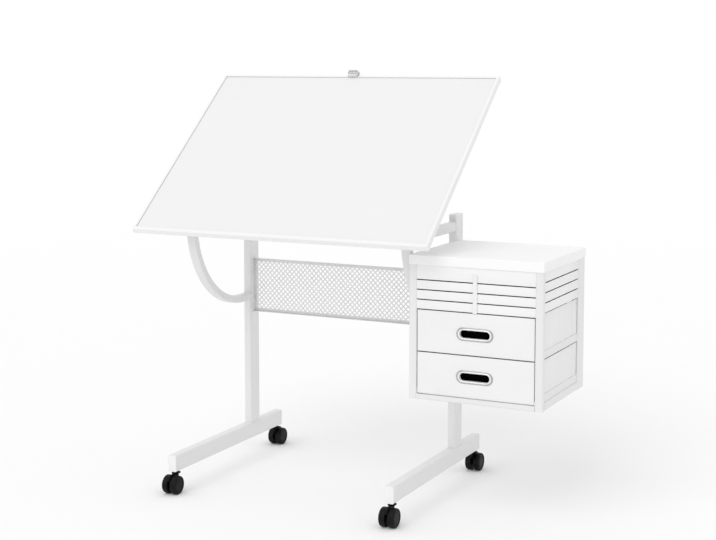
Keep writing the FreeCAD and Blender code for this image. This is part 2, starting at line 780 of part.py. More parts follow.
def build_cabinet_frame():
    """The four stiles and the rails that join them at the base."""
    columns = (("left", "right_outer + stile_width/2"), ("right", "cab_right - stile_width/2"))
    rows = (("front", "front_stile_depth", "cab_front + front_stile_depth/2"),
            ("rear", "rear_stile_depth", "cab_rear - rear_stile_depth/2"))
    for row, depth, y in rows:
        for column, x in columns:
            stile = tube(f"{row}_{column}_stile", "XY_Plane", "stile_width", depth, "cabinet_height")
            keep(put(stile, x, y, "cabinet_bottom"))
    cross = []
    for row, y in (("front", "cab_front + front_stile_depth/2"), ("rear", "cab_rear - front_stile_depth/2")):
        rail = tube(f"base_{row}_rail", "YZ_Plane", "front_stile_depth", "base_height", "bay_width")
        cross.append(put(rail, "bay_left", y, "cabinet_bottom + base_height/2"))
    keep(group("base_cross_rails", *cross))
    long = []
    sides = (("left", "right_outer + side_rail_width/2"), ("right", "cab_right - side_rail_width/2"))
    for column, x in sides:
        rail = tube(f"base_{column}_rail", "XZ_Plane", "side_rail_width", "side_rail_height", "side_run")
        long.append(put(rail, x, "side_front", "cabinet_bottom + side_rail_height/2"))
    keep(group("base_side_rails", *long))


def build_runners():
    """The folded angles on each side, on which the drawers slide."""
    plans = (("left", "right_outer + runner_inset", 1), ("right", "cab_right - runner_inset", -1))
    for column, outside, sign in plans:
        reach = "stile_width - runner_inset + runner_reach"
        low = outside if sign > 0 else f"{outside} - ({reach})"
        angles = []
        for level in range(2):
            name = f"{column}_runner_{level}"
            bottom = f"first_front + {level}*drawer_pitch + runner_lift"
            angle = block(f"{name}_bar", low, "side_front", bottom, reach, "side_run", "runner_height")
            room = f"{low} + runner_thick" if sign > 0 else low
            inside = block(f"{name}_room", room, "side_front", f"{bottom} + runner_thick",
                           f"{reach} - runner_thick", "side_run", "runner_height")
            angles.append(cut(name, angle, inside))
        keep(group(f"{column}_runners", *angles))


def build_side_panels():
    """The covered panels that stand on the runners and close the sides."""
    sheets = []
    columns = (("left", "right_outer + side_panel_recess"),
               ("right", "cab_right - side_panel_recess - side_panel_thick"))
    limits = ("first_front + drawer_pitch + runner_lift", "gallery_bottom + side_slat_lift")
    for column, x in columns:
        for level, limit in enumerate(limits):
            bottom = f"first_front + {level}*drawer_pitch + runner_lift + runner_height"
            sheets.append(block(f"{column}_side_panel_{level}", x, "side_front", bottom, "side_panel_thick",
                                "side_run - side_panel_gap", f"{limit} - side_panel_gap - ({bottom})"))
    keep(group("side_panels", *sheets))


def build_gallery():
    """The slats round the upper shelf, closed up at the left and rear, their strap, the shelf and the top."""
    apron = "cab_top - gallery_bottom - 3*slat_pitch"
    plans = (("front", "bay_left", "slat_front", "bay_width", "slat_thick", "0", "slat_height"),
             ("right", "cab_right - slat_recess - slat_thick", "side_front", "slat_thick", "side_run",
              "side_slat_lift", "slat_height"),
             ("left", "right_outer + slat_recess", "side_front", "slat_thick", "side_run",
              "side_slat_lift", "slat_pitch"),
             ("rear", "bay_left", "slat_rear - slat_thick", "bay_width", "slat_thick", "0", "slat_pitch"))
    for wall, x, y, dx, dy, lift, height in plans:
        slats = [block(f"{wall}_slat_{index}", x, y, f"gallery_bottom + {index}*slat_pitch + {lift}",
                       dx, dy, height if index < 3 else f"{apron} - {lift}")
                 for index in range(4)]
        keep(group(f"{wall}_slats", *slats))
    keep(block("slat_strap", "bay_left + bay_width/2 - strap_width/2", "slat_front - strap_thick",
               "gallery_bottom - drawer_gap + seat_gap", "strap_width", "strap_thick",
               "drawer_gap - seat_gap + 3*slat_pitch + strap_lap"))

    inside = "slat_front + slat_thick"
    main = block("shelf_main", "bay_left", inside, "shelf_bottom", "bay_width",
                 f"slat_rear - slat_thick - ({inside})", "shelf_thick")
    wings = [block(f"shelf_{column}_wing", x, "side_front", "shelf_bottom",
                   "stile_width - slat_recess - slat_thick", "side_run", "shelf_thick")
             for column, x in (("left", "right_outer + slat_recess + slat_thick"), ("right", "bay_right"))]
    keep(fuse("gallery_shelf", main, *wings))

    top = new_body("side_top")
    outline = sketch_on(top, "side_top_outline", "XY_Plane")
    draw_rectangle(outline, "cabinet_width + top_overhang", "cabinet_depth + 2*top_overhang")
    board = pad(top, outline, "top_thick")
    height = board.Shape.BoundBox.ZMax
    dress_edges(top, "PartDesign::Fillet", board, "top_round",
                lambda edge: all(abs(vertex.Z - height) < 1e-6 for vertex in edge.Vertexes))
    keep(put(top, "right_outer + (cabinet_width + top_overhang)/2", "cab_front + cabinet_depth/2", "cab_top"))


def build_drawer(level, name):
    """A drawer: its board front, its covered bin, the ring of its pull and the cup behind it."""
    middle = "bay_left + bay_width/2"
    bottom = f"first_front + {level}*drawer_pitch"
    centre = f"{bottom} + front_height/2"
    front = new_body(f"{name}_front")
    outline = sketch_on(front, f"{name}_front_outline", "XZ_Plane")
    draw_rectangle(outline, "bay_width - 2*front_reveal", "front_height")
    draw_slot(outline, "pull_length", "pull_height")
    pad(front, outline, "front_thick", backwards=True)
    keep(put(front, middle, "front_face", centre))

    floor = f"{bottom} + runner_lift + runner_thick + seat_gap"
    width = "bay_width - 2*bin_inset"
    back = "front_face + front_thick"
    shell = block(f"{name}_bin_block", f"{middle} - ({width})/2", back, floor,
                  width, "bin_depth", "bin_height")
    hollow = block(f"{name}_bin_room", f"{middle} - ({width})/2 + bin_wall", f"{back} - bin_wall",
                   f"{floor} + bin_wall", f"{width} - 2*bin_wall", "bin_depth", "bin_height")
    keep(cut(f"{name}_bin", shell, hollow))

    ring = new_body(f"{name}_ring")
    face = sketch_on(ring, f"{name}_ring_face", "XZ_Plane")
    draw_slot(face, "ring_length", "ring_height")
    draw_slot(face, "pull_length", "pull_height")
    pad(ring, face, "ring_proud")
    keep(put(ring, middle, "front_face", centre))

    cup = new_body(f"{name}_cup")
    outside = sketch_on(cup, f"{name}_cup_outside", "XZ_Plane")
    draw_rectangle(outside, "pull_length + 2*cup_wall", "pull_height + 2*cup_wall")
    pad(cup, outside, "cup_depth", backwards=True)
    room = sketch_on(cup, f"{name}_cup_room", "XZ_Plane")
    draw_rectangle(room, "pull_length", "pull_height")
    pocket(cup, room, "cup_depth - cup_wall")
    keep(put(cup, middle, "front_face + front_thick", centre))


# Casters

def build_caster(side, end, start, inset, sign):
    """A twin-wheel caster: the hood with its stem, and the two wheels on one axle."""
    name = f"{end}_{side.name}_caster"
    place = (side.at("post_width/2"), f"{start} + {inset} + ({sign})*caster_trail", "wheel_radius",
             "0; 0; 1", 0 if sign < 0 else 180)
    web_low = "-caster_web/2"
    disc = prism(f"{name}_disc", web_low, 0, 0, "hood_radius", "caster_web", WHEEL_SIDES)
    upper = block(f"{name}_upper", web_low, "-hood_radius", "hood_skirt",
                  "caster_web", "2*hood_radius", "hood_radius")
    spine = block(f"{name}_spine", web_low, "-hub_radius", "-hub_radius", "caster_web", "2*hub_radius",
                  "hub_radius + hood_skirt")
    boss_low, boss_top = "wheel_radius + hood_gap", "foot_clear - boss_gap - wheel_radius"
    boss_front = "caster_trail - boss_half"
    neck = block(f"{name}_neck", web_low, boss_front, "hood_skirt", "caster_web", "2*boss_half",
                 f"{boss_low} - hood_skirt")
    boss = block(f"{name}_boss", "-boss_half", boss_front, boss_low, "2*boss_half", "2*boss_half",
                 f"{boss_top} - ({boss_low})")
    stem = rod(f"{name}_stem", 0, "caster_trail", boss_top, "stem_radius", "boss_gap + stem_rise", "z")
    moulding = fuse(f"{name}_moulding", common(f"{name}_cover", disc, upper), spine, neck, boss, stem)
    bore = rod(f"{name}_bore", "-caster_web", 0, 0, "axle_radius + run_fit", "2*caster_web", "x")
    keep(put(cut(f"{name}_hood", moulding, bore), *place))

    axle = rod(f"{name}_axle", "-wheel_inner", 0, 0, "axle_radius", "2*wheel_inner", "x")
    drums = [prism(f"{name}_drum_{index}", x, 0, 0, "wheel_radius", "wheel_width", WHEEL_SIDES)
             for index, x in enumerate(("wheel_inner", "-caster_half"))]
    keep(put(fuse(f"{name}_wheels", axle, *drums), *place))


for frame_side in SIDES:
    build_stand(frame_side)
    build_track(frame_side)
    build_channel(frame_side)
    build_stay(frame_side)
    for foot_end in FOOT_ENDS:
        build_caster(frame_side, *foot_end)
build_plugs()
build_hinge_pins()
build_mesh_panel()
build_board()
build_clip()
build_cabinet_frame()
build_runners()
build_side_panels()
build_gallery()
for drawer_level, drawer_name in enumerate(("lower_drawer", "upper_drawer")):
    build_drawer(drawer_level, drawer_name)
doc.recompute()

for item in doc.Objects:
    if "Invalid" in item.State or "Error" in item.State:
        raise RuntimeError(f"{item.Name} did not build: {item.State}")
for item in nodes:
    if item.Shape.isNull() or not item.Shape.isValid():
        raise RuntimeError(f"{item.Label} has no valid shape")
os.makedirs("parts", exist_ok=True)
for item in nodes:
    item.Shape.exportStep(f"parts/{item.Label}.step")
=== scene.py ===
"""Looks of a white drafting table with a tilting board and a hung drawer cabinet.

Metres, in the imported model's frame: +X along the table to the cabinet, +Y to the back, +Z up.
"""
import json
import logging
from collections.abc import Callable, Iterable, Sequence
from dataclasses import dataclass, field, replace
from enum import Enum
from math import asin, atan2, ceil, copysign, cos, pi, radians, sin, sqrt

import bmesh
import bpy
from bpy.types import ID, Material, Mesh, Node, NodeSocket, NodeTree, Object
from mathutils import Matrix, Vector, noise


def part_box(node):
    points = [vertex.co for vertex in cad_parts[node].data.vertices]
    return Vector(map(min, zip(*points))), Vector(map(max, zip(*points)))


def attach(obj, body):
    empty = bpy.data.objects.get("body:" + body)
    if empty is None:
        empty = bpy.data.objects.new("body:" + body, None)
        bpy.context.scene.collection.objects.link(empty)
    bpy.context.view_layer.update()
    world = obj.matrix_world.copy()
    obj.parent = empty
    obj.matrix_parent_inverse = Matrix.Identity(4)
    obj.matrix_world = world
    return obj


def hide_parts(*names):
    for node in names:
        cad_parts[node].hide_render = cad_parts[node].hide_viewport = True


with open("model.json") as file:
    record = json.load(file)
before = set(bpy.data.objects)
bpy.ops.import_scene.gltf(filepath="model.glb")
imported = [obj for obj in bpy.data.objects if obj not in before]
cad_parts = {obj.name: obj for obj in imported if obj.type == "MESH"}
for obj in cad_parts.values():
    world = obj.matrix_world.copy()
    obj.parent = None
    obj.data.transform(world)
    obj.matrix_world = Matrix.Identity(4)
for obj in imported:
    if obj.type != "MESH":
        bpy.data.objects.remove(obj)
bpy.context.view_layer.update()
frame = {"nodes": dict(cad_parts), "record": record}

SMOOTH_ANGLE = radians(35)
BUMP_STRENGTH = 0.6
TONE_PATCHES = 7.0
WELD_DISTANCE = 0.0001
EDGE_FACES = 2
CORNER_FACES = 4
log = logging.getLogger("drafting_table")

Triple = tuple[float, float, float]
Pairs = Sequence[tuple[float, float]]
Sockets = Sequence[tuple[str, str]]
Ring = list[Vector]
ALONG_X: Triple = (1.0, 0.0, 0.0)


class Slot(Enum):
    """The record's material slots."""

    STEEL = "white_steel"
    BOARD = "white_board"
    TRIM = "white_trim"
    CLOTH = "white_cloth"
    METAL = "bright_metal"
    PLASTIC = "black_plastic"
    TREAD = "black_tread"


class Relief(Enum):
    """The kind of fine relief that a finish shows close up."""

    PEEL = "sprayed or moulded skin"
    WEAVE = "woven threads"
    BRUSH = "fine scratches along one way"


class Side(Enum):
    """The two sides of the stand, with the sign of the way outwards."""

    LEFT = -1
    RIGHT = 1

    @property
    def label(self) -> str:
        """The side's part in node names."""
        return self.name.lower()


class Graph:
    """Wires up one node tree.

    Args:
        tree: The shader or geometry tree that gets the nodes.
    """

    def __init__(self, tree: NodeTree) -> None:
        """Takes the tree."""
        self.tree = tree

    def feed(self, target: NodeSocket, value: object) -> None:
        """Links a socket to an input, or sets the input to a constant.

        Args:
            target: The input.
            value: An output socket or a constant.
        """
        if isinstance(value, NodeSocket):
            self.tree.links.new(value, target)
        else:
            target.default_value = value

    def add(self, kind: str, values: dict[str | int, object] | None = None,
            **settings: object) -> Node:
        """Adds a node.

        Args:
            kind: The node's type.
            values: Its inputs, by name or index, as sockets or constants.
            settings: Its properties.

        Returns:
            The node.
        """
        node = self.tree.nodes.new(kind)
        for name, value in settings.items():
            setattr(node, name, value)
        for key, value in (values or {}).items():
            self.feed(node.inputs[key], value)
        return node

    def math(self, operation: str, *values: object) -> NodeSocket:
        """Adds a Math node, with its inputs in order, and gives its result."""
        return self.add("ShaderNodeMath", dict(enumerate(values)), operation=operation).outputs[0]

    def noise(self, vector: object, scale: object, detail: float) -> NodeSocket:
        """Adds a Noise texture, which is read at a vector, and gives its value."""
        values = {"Vector": vector, "Scale": scale, "Detail": detail}
        return self.add("ShaderNodeTexNoise", values).outputs[0]

    def vector(self, *parts: object) -> NodeSocket:
        """Puts a vector together from its three parts."""
        return self.add("ShaderNodeCombineXYZ", dict(enumerate(parts))).outputs[0]

    def stretch(self, vector: object, shares: Triple) -> NodeSocket:
        """Multiplies a vector part by part."""
        return self.add("ShaderNodeVectorMath", {0: vector, 1: shares}, operation="MULTIPLY").outputs[0]


class Group(Graph):
    """A node group with named sockets."""

    def __init__(self, kind: str, name: str, inputs: Sockets, outputs: Sockets) -> None:
        """Starts the group.

        Args:
            kind: The type of its tree.
            name: Its name.
            inputs: Names and kinds of its inputs.
            outputs: Names and kinds of its outputs.
        """
        super().__init__(bpy.data.node_groups.new(name, kind))
        self.keys: dict[str, str] = {}
        for direction, sockets in (("INPUT", inputs), ("OUTPUT", outputs)):
            for label, form in sockets:
                full_form = f"NodeSocket{form}"
                socket = self.tree.interface.new_socket(label, in_out=direction, socket_type=full_form)
                self.keys.setdefault(label, socket.identifier)
        self.entry = self.add("NodeGroupInput").outputs
        self.result = self.add("NodeGroupOutput").inputs

    def close(self, **values: NodeSocket) -> NodeTree:
        """Feeds the group's outputs.

        Args:
            values: What each output gives, by its name.

        Returns:
            The group's tree.
        """
        for name, value in values.items():
            self.feed(self.result[name], value)
        return self.tree


class Effects:
    """The shader groups that the finishes share, each built once."""

    CLOUD_SPREAD = (0.3, 0.7)
    GLOSS_PATCHES = 0.02
    CREASE_STRETCH = (26.0, 3.5, 1.0)
    CREASE_HEIGHT = 5.0
    SCRATCH_STRETCH = (0.02, 1.0, 1.0)

    def __init__(self) -> None:
        """Builds the groups."""
        self.tone = self._tone()
        self.reliefs = {Relief.PEEL: self._peel(), Relief.WEAVE: self._weave(), Relief.BRUSH: self._brush()}

    @staticmethod
    def _start(name: str) -> Group:
        """Starts a group that makes a height and a roughness."""
        inputs = (("Vector", "Vector"), ("Per Metre", "Float"), ("Roughness", "Float"), ("Swing", "Float"))
        return Group("ShaderNodeTree", name, inputs, (("Height", "Float"), ("Roughness", "Float")))

    @staticmethod
    def _end(group: Group, height: NodeSocket, wave: NodeSocket) -> NodeTree:
        """Ends a group with its height and with a roughness that swings with a wave."""
        swung = group.math("MULTIPLY_ADD", wave, group.entry["Swing"], group.entry["Roughness"])
        return group.close(Height=height, Roughness=swung)

    def _tone(self) -> NodeTree:
        """A slow drift of the colour's brightness.

        Returns:
            The group.
        """
        inputs = (("Vector", "Vector"), ("Colour", "Color"), ("Drift", "Float"), ("Patches", "Float"))
        group = Group("ShaderNodeTree", "tone_drift", inputs, (("Colour", "Color"),))
        entry = group.entry
        least, most = self.CLOUD_SPREAD
        spread = group.add("ShaderNodeMapRange", {
            "Value": group.noise(entry["Vector"], entry["Patches"], 3.0), "From Min": least, "From Max": most,
            "To Min": group.math("SUBTRACT", 1.0, entry["Drift"]), "To Max": 1.0})
        shade = group.add("ShaderNodeHueSaturation", {"Color": entry["Colour"], "Value": spread.outputs[0]})
        return group.close(Colour=shade.outputs[0])

    def _peel(self) -> NodeTree:
        """The fine bumps of a sprayed or moulded skin, and patches of other gloss.

        Returns:
            The group.
        """
        group = self._start("skin_relief")
        place, count = group.entry["Vector"], group.entry["Per Metre"]
        gloss = group.noise(place, group.math("MULTIPLY", count, self.GLOSS_PATCHES), 4.0)
        return self._end(group, group.noise(place, count, 2.0), group.math("SUBTRACT", gloss, 0.5))

    def _weave(self) -> NodeTree:
        """A plain weave on a map in metres, with soft creases along its second way.

        Returns:
            The group.
        """
        group = self._start("plain_weave")
        place = group.entry["Vector"]
        split = group.add("ShaderNodeSeparateXYZ", {"Vector": place})
        turns = group.math("MULTIPLY", group.entry["Per Metre"], pi)
        waves = [group.math("SINE", group.math("MULTIPLY", split.outputs[axis], turns)) for axis in (0, 1)]
        knot = group.math("MULTIPLY", *waves)
        crease = group.noise(group.stretch(place, self.CREASE_STRETCH), 1.0, 2.0)
        return self._end(group, group.math("MULTIPLY_ADD", crease, self.CREASE_HEIGHT, knot), knot)

    def _brush(self) -> NodeTree:
        """Fine scratches along X.

        Returns:
            The group.
        """
        group = self._start("brushing")
        stretched = group.stretch(group.entry["Vector"], self.SCRATCH_STRETCH)
        lines = group.noise(stretched, group.entry["Per Metre"], 3.0)
        return self._end(group, lines, group.math("SUBTRACT", lines, 0.5))


@dataclass(frozen=True)
class Finish:
    """One procedural finish.

    Args:
        slot: The record's material slot.
        tone: Grey of the base colour, linear.
        roughness: Mean roughness.
        relief: Kind of fine relief.
        per_metre: Bumps, threads or scratches per metre.
        depth: Depth of the relief in metres.
        drift: Share of brightness that the tone loses in its darker patches.
        swing: How far the roughness moves.
        metallic: Metallic share.
        sheen: Sheen weight.
        specular: Specular level.
        label: What the finish is for, where it isn't the slot's main one.
        nodes: The CAD nodes that wear it, where it isn't the slot's main one.
    """

    slot: Slot
    tone: float
    roughness: float
    relief: Relief
    per_metre: float
    depth: float
    drift: float = 0.02
    swing: float = 0.12
    metallic: float = 0.0
    sheen: float = 0.0
    specular: float = 0.5
    label: str = ""
    nodes: tuple[str, ...] = ()

    def build(self, effects: Effects) -> Material:
        """Makes the finish's material.

        Args:
            effects: The shared groups.

        Returns:
            The material.
        """
        name = f"{self.slot.value}_{self.label}" if self.label else self.slot.value
        colour = (self.tone, self.tone, self.tone, 1.0)
        material = bpy.data.materials.new(name)
        material.use_nodes = True
        material.diffuse_color = colour
        graph = Graph(material.node_tree)
        shader = graph.tree.nodes["Principled BSDF"]
        place = graph.add("ShaderNodeTexCoord").outputs
        on_map = place["UV" if self.relief is Relief.WEAVE else "Object"]
        shade = graph.add("ShaderNodeGroup", {
            "Vector": place["Object"], "Colour": colour, "Drift": self.drift, "Patches": TONE_PATCHES},
            node_tree=effects.tone)
        skin = graph.add("ShaderNodeGroup", {
            "Vector": on_map, "Per Metre": self.per_metre, "Roughness": self.roughness, "Swing": self.swing},
            node_tree=effects.reliefs[self.relief])
        bump = graph.add("ShaderNodeBump", {
            "Strength": BUMP_STRENGTH, "Distance": self.depth, "Height": skin.outputs["Height"]})
        for socket, value in (("Base Color", shade.outputs["Colour"]), ("Normal", bump.outputs[0]),
                              ("Roughness", skin.outputs["Roughness"]), ("Metallic", self.metallic),
                              ("Sheen Weight", self.sheen), ("Specular IOR Level", self.specular)):
            graph.feed(shader.inputs[socket], value)
        return material


STEEL = Finish(Slot.STEEL, 0.80, 0.42, Relief.PEEL, 900.0, 0.00003, specular=0.35)
BOARD = Finish(Slot.BOARD, 0.83, 0.48, Relief.PEEL, 500.0, 0.00002, drift=0.012, specular=0.3)
METAL = Finish(Slot.METAL, 0.44, 0.26, Relief.BRUSH, 1500.0, 0.00002, metallic=1.0)
PLASTIC = Finish(Slot.PLASTIC, 0.007, 0.42, Relief.PEEL, 1600.0, 0.00003, drift=0.25, specular=0.06)
FINISHES = (
    STEEL,
    # Painted light: the slats wear a lighter copy of the white steel, for the brighter light on the cabinet's
    # front than on the stand in the board's shade.
    replace(STEEL, tone=0.88, label="slats",
            nodes=("front_slats", "right_slats", "left_slats", "rear_slats", "gallery_shelf")),
    BOARD,
    # Painted light: the side top wears a lighter copy of the board's laminate, to lift the shade that the
    # tilted board casts on it.
    replace(BOARD, tone=0.93, label="side_top", nodes=("side_top",)),
    Finish(Slot.TRIM, 0.88, 0.40, Relief.PEEL, 1400.0, 0.00002, specular=0.35),
    Finish(Slot.CLOTH, 0.87, 0.85, Relief.WEAVE, 1400.0, 0.00012, drift=0.03, swing=0.05, sheen=0.1,
           specular=0.2),
    METAL,
    # The ring's inner part wears this lighter bright metal; its outer part keeps the darker main bright metal
    # as painted shade.
    replace(METAL, tone=0.84, roughness=0.34, label="ring", nodes=("lower_drawer_ring", "upper_drawer_ring")),
    replace(METAL, tone=0.68, roughness=0.34, label="clip", nodes=("clip_base", "clip_jaw")),
    PLASTIC,
    # Partly painted shade: the pull cups wear a darker, duller copy of the black plastic, the cup's own black
    # deepened to paint the shade inside the pull's hole.
    replace(PLASTIC, tone=0.003, roughness=0.6, specular=0.02, label="cup",
            nodes=("lower_drawer_cup", "upper_drawer_cup")),
    Finish(Slot.TREAD, 0.007, 0.45, Relief.PEEL, 1100.0, 0.00004, drift=0.3, specular=0.12),
)


class Workshop:
    """Holds the materials and dresses the pieces."""

    def __init__(self, record: dict) -> None:
        """Makes the materials and the recipes.

        Args:
            record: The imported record, which names each node's slot.
        """
        effects = Effects()
        self.materials = {finish.slot: finish.build(effects) for finish in FINISHES if not finish.nodes}
        slots = {part["node"]: Slot(part["material_slot"]) for part in record["subparts"]}
        self.node_materials = {node: self.materials[slot] for node, slot in slots.items()}
        for finish in FINISHES:
            if finish.nodes:
                self.node_materials.update(dict.fromkeys(finish.nodes, finish.build(effects)))
        self.recipes = Recipes()

    def coat_nodes(self) -> None:
        """Gives every CAD node its material."""
        for name, node in frame["nodes"].items():
            node.data.materials.clear()
            node.data.materials.append(self.node_materials[name])

    def hang(self, piece: Object, body: str, slot: Slot, replaces: Sequence[str] = ()) -> None:
        """Puts a finished piece on its body.

        Args:
            piece: The piece.
            body: The CAD body that it moves with.
            slot: Its material slot; not used.
            replaces: The CAD nodes that it stands for.
        """
        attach(piece, body)
        if replaces:
            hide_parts(*replaces)
        log.info("%s on %s, %d faces", piece.name, body, len(piece.data.polygons))

    def dress(self, shape: "Shape", name: str, body: str, slot: Slot, node: str = "") -> None:
        """Makes a piece of a shape, in the finish of the node it replaces or of its slot, and hangs it."""
        material = self.node_materials[node] if node else self.materials[slot]
        self.hang(shape.piece(name, material), body, slot, [node] if node else ())


class Shape:
    """Collects solid forms in one mesh."""

    def __init__(self) -> None:
        """Starts without forms."""
        self.mesh = bmesh.new()

    def box(self, low: Sequence[float], high: Sequence[float], radius: float) -> None:
        """Adds a block with rounded edges.

        Args:
            low: Its lowest corner.
            high: Its highest corner.
            radius: The radius of its edges.
        """
        low, high = Vector(low), Vector(high)
        scale = Matrix.Diagonal((*(high - low), 1.0))
        made = bmesh.ops.create_cube(self.mesh, size=1.0, matrix=Matrix.Translation((low + high) / 2) @ scale)
        edges = list(dict.fromkeys(edge for vertex in made["verts"] for edge in vertex.link_edges))
        bmesh.ops.bevel(self.mesh, geom=edges, offset=radius, segments=EDGE_FACES, profile=0.5,
                        affect="EDGES")

    def loft(self, rings: Sequence[Ring], looped: bool = False) -> None:
        """Joins rings of points with faces.

        Args:
            rings: Rings with as many points each.
            looped: Joins the last ring to the first; otherwise the ends are closed with a face.
        """
        rows = [[self.mesh.verts.new(point) for point in ring] for ring in rings]
        pairs = list(zip(rows, rows[1:]))
        if looped:
            pairs.append((rows[-1], rows[0]))
        for row, following in pairs:
            for index in range(len(row)):
                after = (index + 1) % len(row)
                self.mesh.faces.new((row[index], row[after], following[after], following[index]))
        if not looped:
            self.mesh.faces.new(reversed(rows[0]))
            self.mesh.faces.new(rows[-1])

    def lathe(self, profile: Pairs, centre: Sequence[float], axis: Sequence[float], steps: int,
              rim: Callable[[float], float] = lambda angle: 1.0) -> None:
        """Turns a profile round an axis.

        Args:
            profile: Pairs of place along the axis and radius, from one end to the other.
            centre: The point on the axis where the places start.
            axis: The axis.
            steps: Points round the axis.
            rim: The share of the radius at an angle.
        """
        axis = Vector(axis).normalized()
        across = axis.orthogonal().normalized()
        up = axis.cross(across)
        angles = [2 * pi * step / steps for step in range(steps)]
        ways = [(across * cos(angle) + up * sin(angle), rim(angle)) for angle in angles]
        self.loft([[Vector(centre) + axis * place + way * radius * share for way, share in ways]
                   for place, radius in profile])

    def include(self, mesh: Mesh) -> None:
        """Takes over the faces of a finished mesh, which is then removed."""
        self.mesh.from_mesh(mesh)
        bpy.data.meshes.remove(mesh)

    def turn(self, axes: Matrix) -> None:
        """Moves the collected forms from a part's own axes into the frame."""
        bmesh.ops.transform(self.mesh, matrix=axes, verts=self.mesh.verts)

    def piece(self, name: str, material: Material) -> Object:
        """Makes the collected forms an object at the origin.

        Args:
            name: The piece's name.
            material: Its material.

        Returns:
            The object, smooth up to a set angle, with a map in metres for a weave.
        """
        bmesh.ops.recalc_face_normals(self.mesh, faces=self.mesh.faces)
        layer = self.mesh.loops.layers.uv.new("weave")
        for face in self.mesh.faces:
            face.smooth = True
            normal = [abs(part) for part in face.normal]
            across, up = ((1, 2), (0, 2), (0, 1))[normal.index(max(normal))]
            for corner in face.loops:
                corner[layer].uv = (corner.vert.co[across], corner.vert.co[up])
        mesh = bpy.data.meshes.new(name)
        self.mesh.to_mesh(mesh)
        self.mesh.free()
        mesh.set_sharp_from_angle(angle=SMOOTH_ANGLE)
        mesh.materials.append(material)
        return place_object(name, mesh)


def place_object(name: str, data: ID) -> Object:
    """Adds an object to the scene.

    Args:
        name: Its name.
        data: Its mesh, with its place in the mesh, or its camera or light.

    Returns:
        The object.
    """
    item = bpy.data.objects.new(name, data)
    bpy.context.scene.collection.objects.link(item)
    return item


def path_mesh(name: str, paths: Iterable[Sequence[Vector]], closed: bool) -> Mesh:
    """Makes a mesh of bare edges along paths.

    Args:
        name: The mesh's name.
        paths: The corner points of each path.
        closed: Joins each path's end to its start.

    Returns:
        The mesh.
    """
    points: list[Vector] = []
    edges: list[tuple[int, int]] = []
    for path in paths:
        first = len(points)
        points.extend(path)
        edges.extend((index, index + 1) for index in range(first, len(points) - 1))
        if closed:
            edges.append((len(points) - 1, first))
    mesh = bpy.data.meshes.new(name)
    mesh.from_pydata(points, edges, [])
    return mesh


def rounded_rectangle(width: float, height: float, radius: float) -> Pairs:
    """The outline of a rectangle with round corners about the origin.

    Args:
        width: Its width.
        height: Its height.
        radius: The radius of its corners.

    Returns:
        Its points, anticlockwise.
    """
    points = []
    for quarter, (across, up) in enumerate(((1, 1), (-1, 1), (-1, -1), (1, -1))):
        for step in range(CORNER_FACES + 1):
            angle = pi / 2 * (quarter + step / CORNER_FACES)
            points.append((across * (width / 2 - radius) + radius * cos(angle),
                           up * (height / 2 - radius) + radius * sin(angle)))
    return points


def obround_radius(angle: float, length: float, height: float) -> float:
    """How far an obround's outline is from its middle.

    Args:
        angle: The way that is asked, from its long axis.
        length: Its length.
        height: Its height.

    Returns:
        The distance.
    """
    radius, reach = height / 2, (length - height) / 2
    cosine, sine = abs(cos(angle)), abs(sin(angle))
    if cosine * radius <= sine * reach:
        return radius / sine
    return reach * cosine + sqrt(max(radius ** 2 - (reach * sine) ** 2, 0.0))


def rectangle_radius(angle: float, width: float, height: float) -> float:
    """How far a rectangle's outline is from its middle, at an angle from its width."""
    cosine, sine = abs(cos(angle)), abs(sin(angle))
    return min(width / 2 / max(cosine, 1e-9), height / 2 / max(sine, 1e-9))


class Recipe(Group):
    """A Geometry Nodes tree with named inputs.

    Args:
        name: The tree's name.
        inputs: Names and kinds of the inputs between the geometry and the finish.
    """

    def __init__(self, name: str, inputs: Sockets) -> None:
        """Starts the tree with its sockets."""
        geometry = ("Geometry", "Geometry")
        super().__init__("GeometryNodeTree", name, (geometry, *inputs, ("Finish", "Material")), (geometry,))

    def geo(self, kind: str, values: dict[str | int, object], **settings: object) -> NodeSocket:
        """Adds a geometry node and gives its first output."""
        return self.add(f"GeometryNode{kind}", values, **settings).outputs[0]

    def align(self, vector: NodeSocket, axis: str) -> NodeSocket:
        """Gives the rotation that turns an axis along a vector."""
        return self.add("FunctionNodeAlignRotationToVector", {"Vector": vector}, axis=axis).outputs[0]

    def join(self, *parts: NodeSocket) -> NodeSocket:
        """Joins geometries and welds them where they meet.

        Args:
            parts: The geometries.

        Returns:
            The joined geometry.
        """
        joined = self.add("GeometryNodeJoinGeometry")
        for part in parts:
            self.feed(joined.inputs[0], part)
        real = self.geo("RealizeInstances", {0: joined.outputs[0]})
        return self.geo("MergeByDistance", {"Geometry": real, "Distance": WELD_DISTANCE})

    def end(self, geometry: NodeSocket) -> "Recipe":
        """Ends the tree with real geometry in its material.

        Args:
            geometry: What the tree makes.

        Returns:
            The recipe.
        """
        real = self.geo("RealizeInstances", {"Geometry": geometry})
        self.close(Geometry=self.geo("SetMaterial", {"Geometry": real, "Material": self.entry["Finish"]}))
        return self

    def make(self, name: str, mesh: Mesh, material: Material,
             values: dict[str, object]) -> Object:
        """Runs the tree on a mesh and keeps the result as a plain mesh.

        Args:
            name: The piece's name.
            mesh: What the tree starts from.
            material: The piece's material.
            values: The tree's inputs by name.

        Returns:
            The piece.
        """
        source = place_object(f"{name}_source", mesh)
        modifier = source.modifiers.new(self.tree.name, "NODES")
        modifier.node_group = self.tree
        for label, value in (*values.items(), ("Finish", material)):
            modifier[self.keys[label]] = value
        solved = source.evaluated_get(bpy.context.evaluated_depsgraph_get())
        result = bpy.data.meshes.new_from_object(solved)
        result.name = name
        bpy.data.objects.remove(source)
        return place_object(name, result)


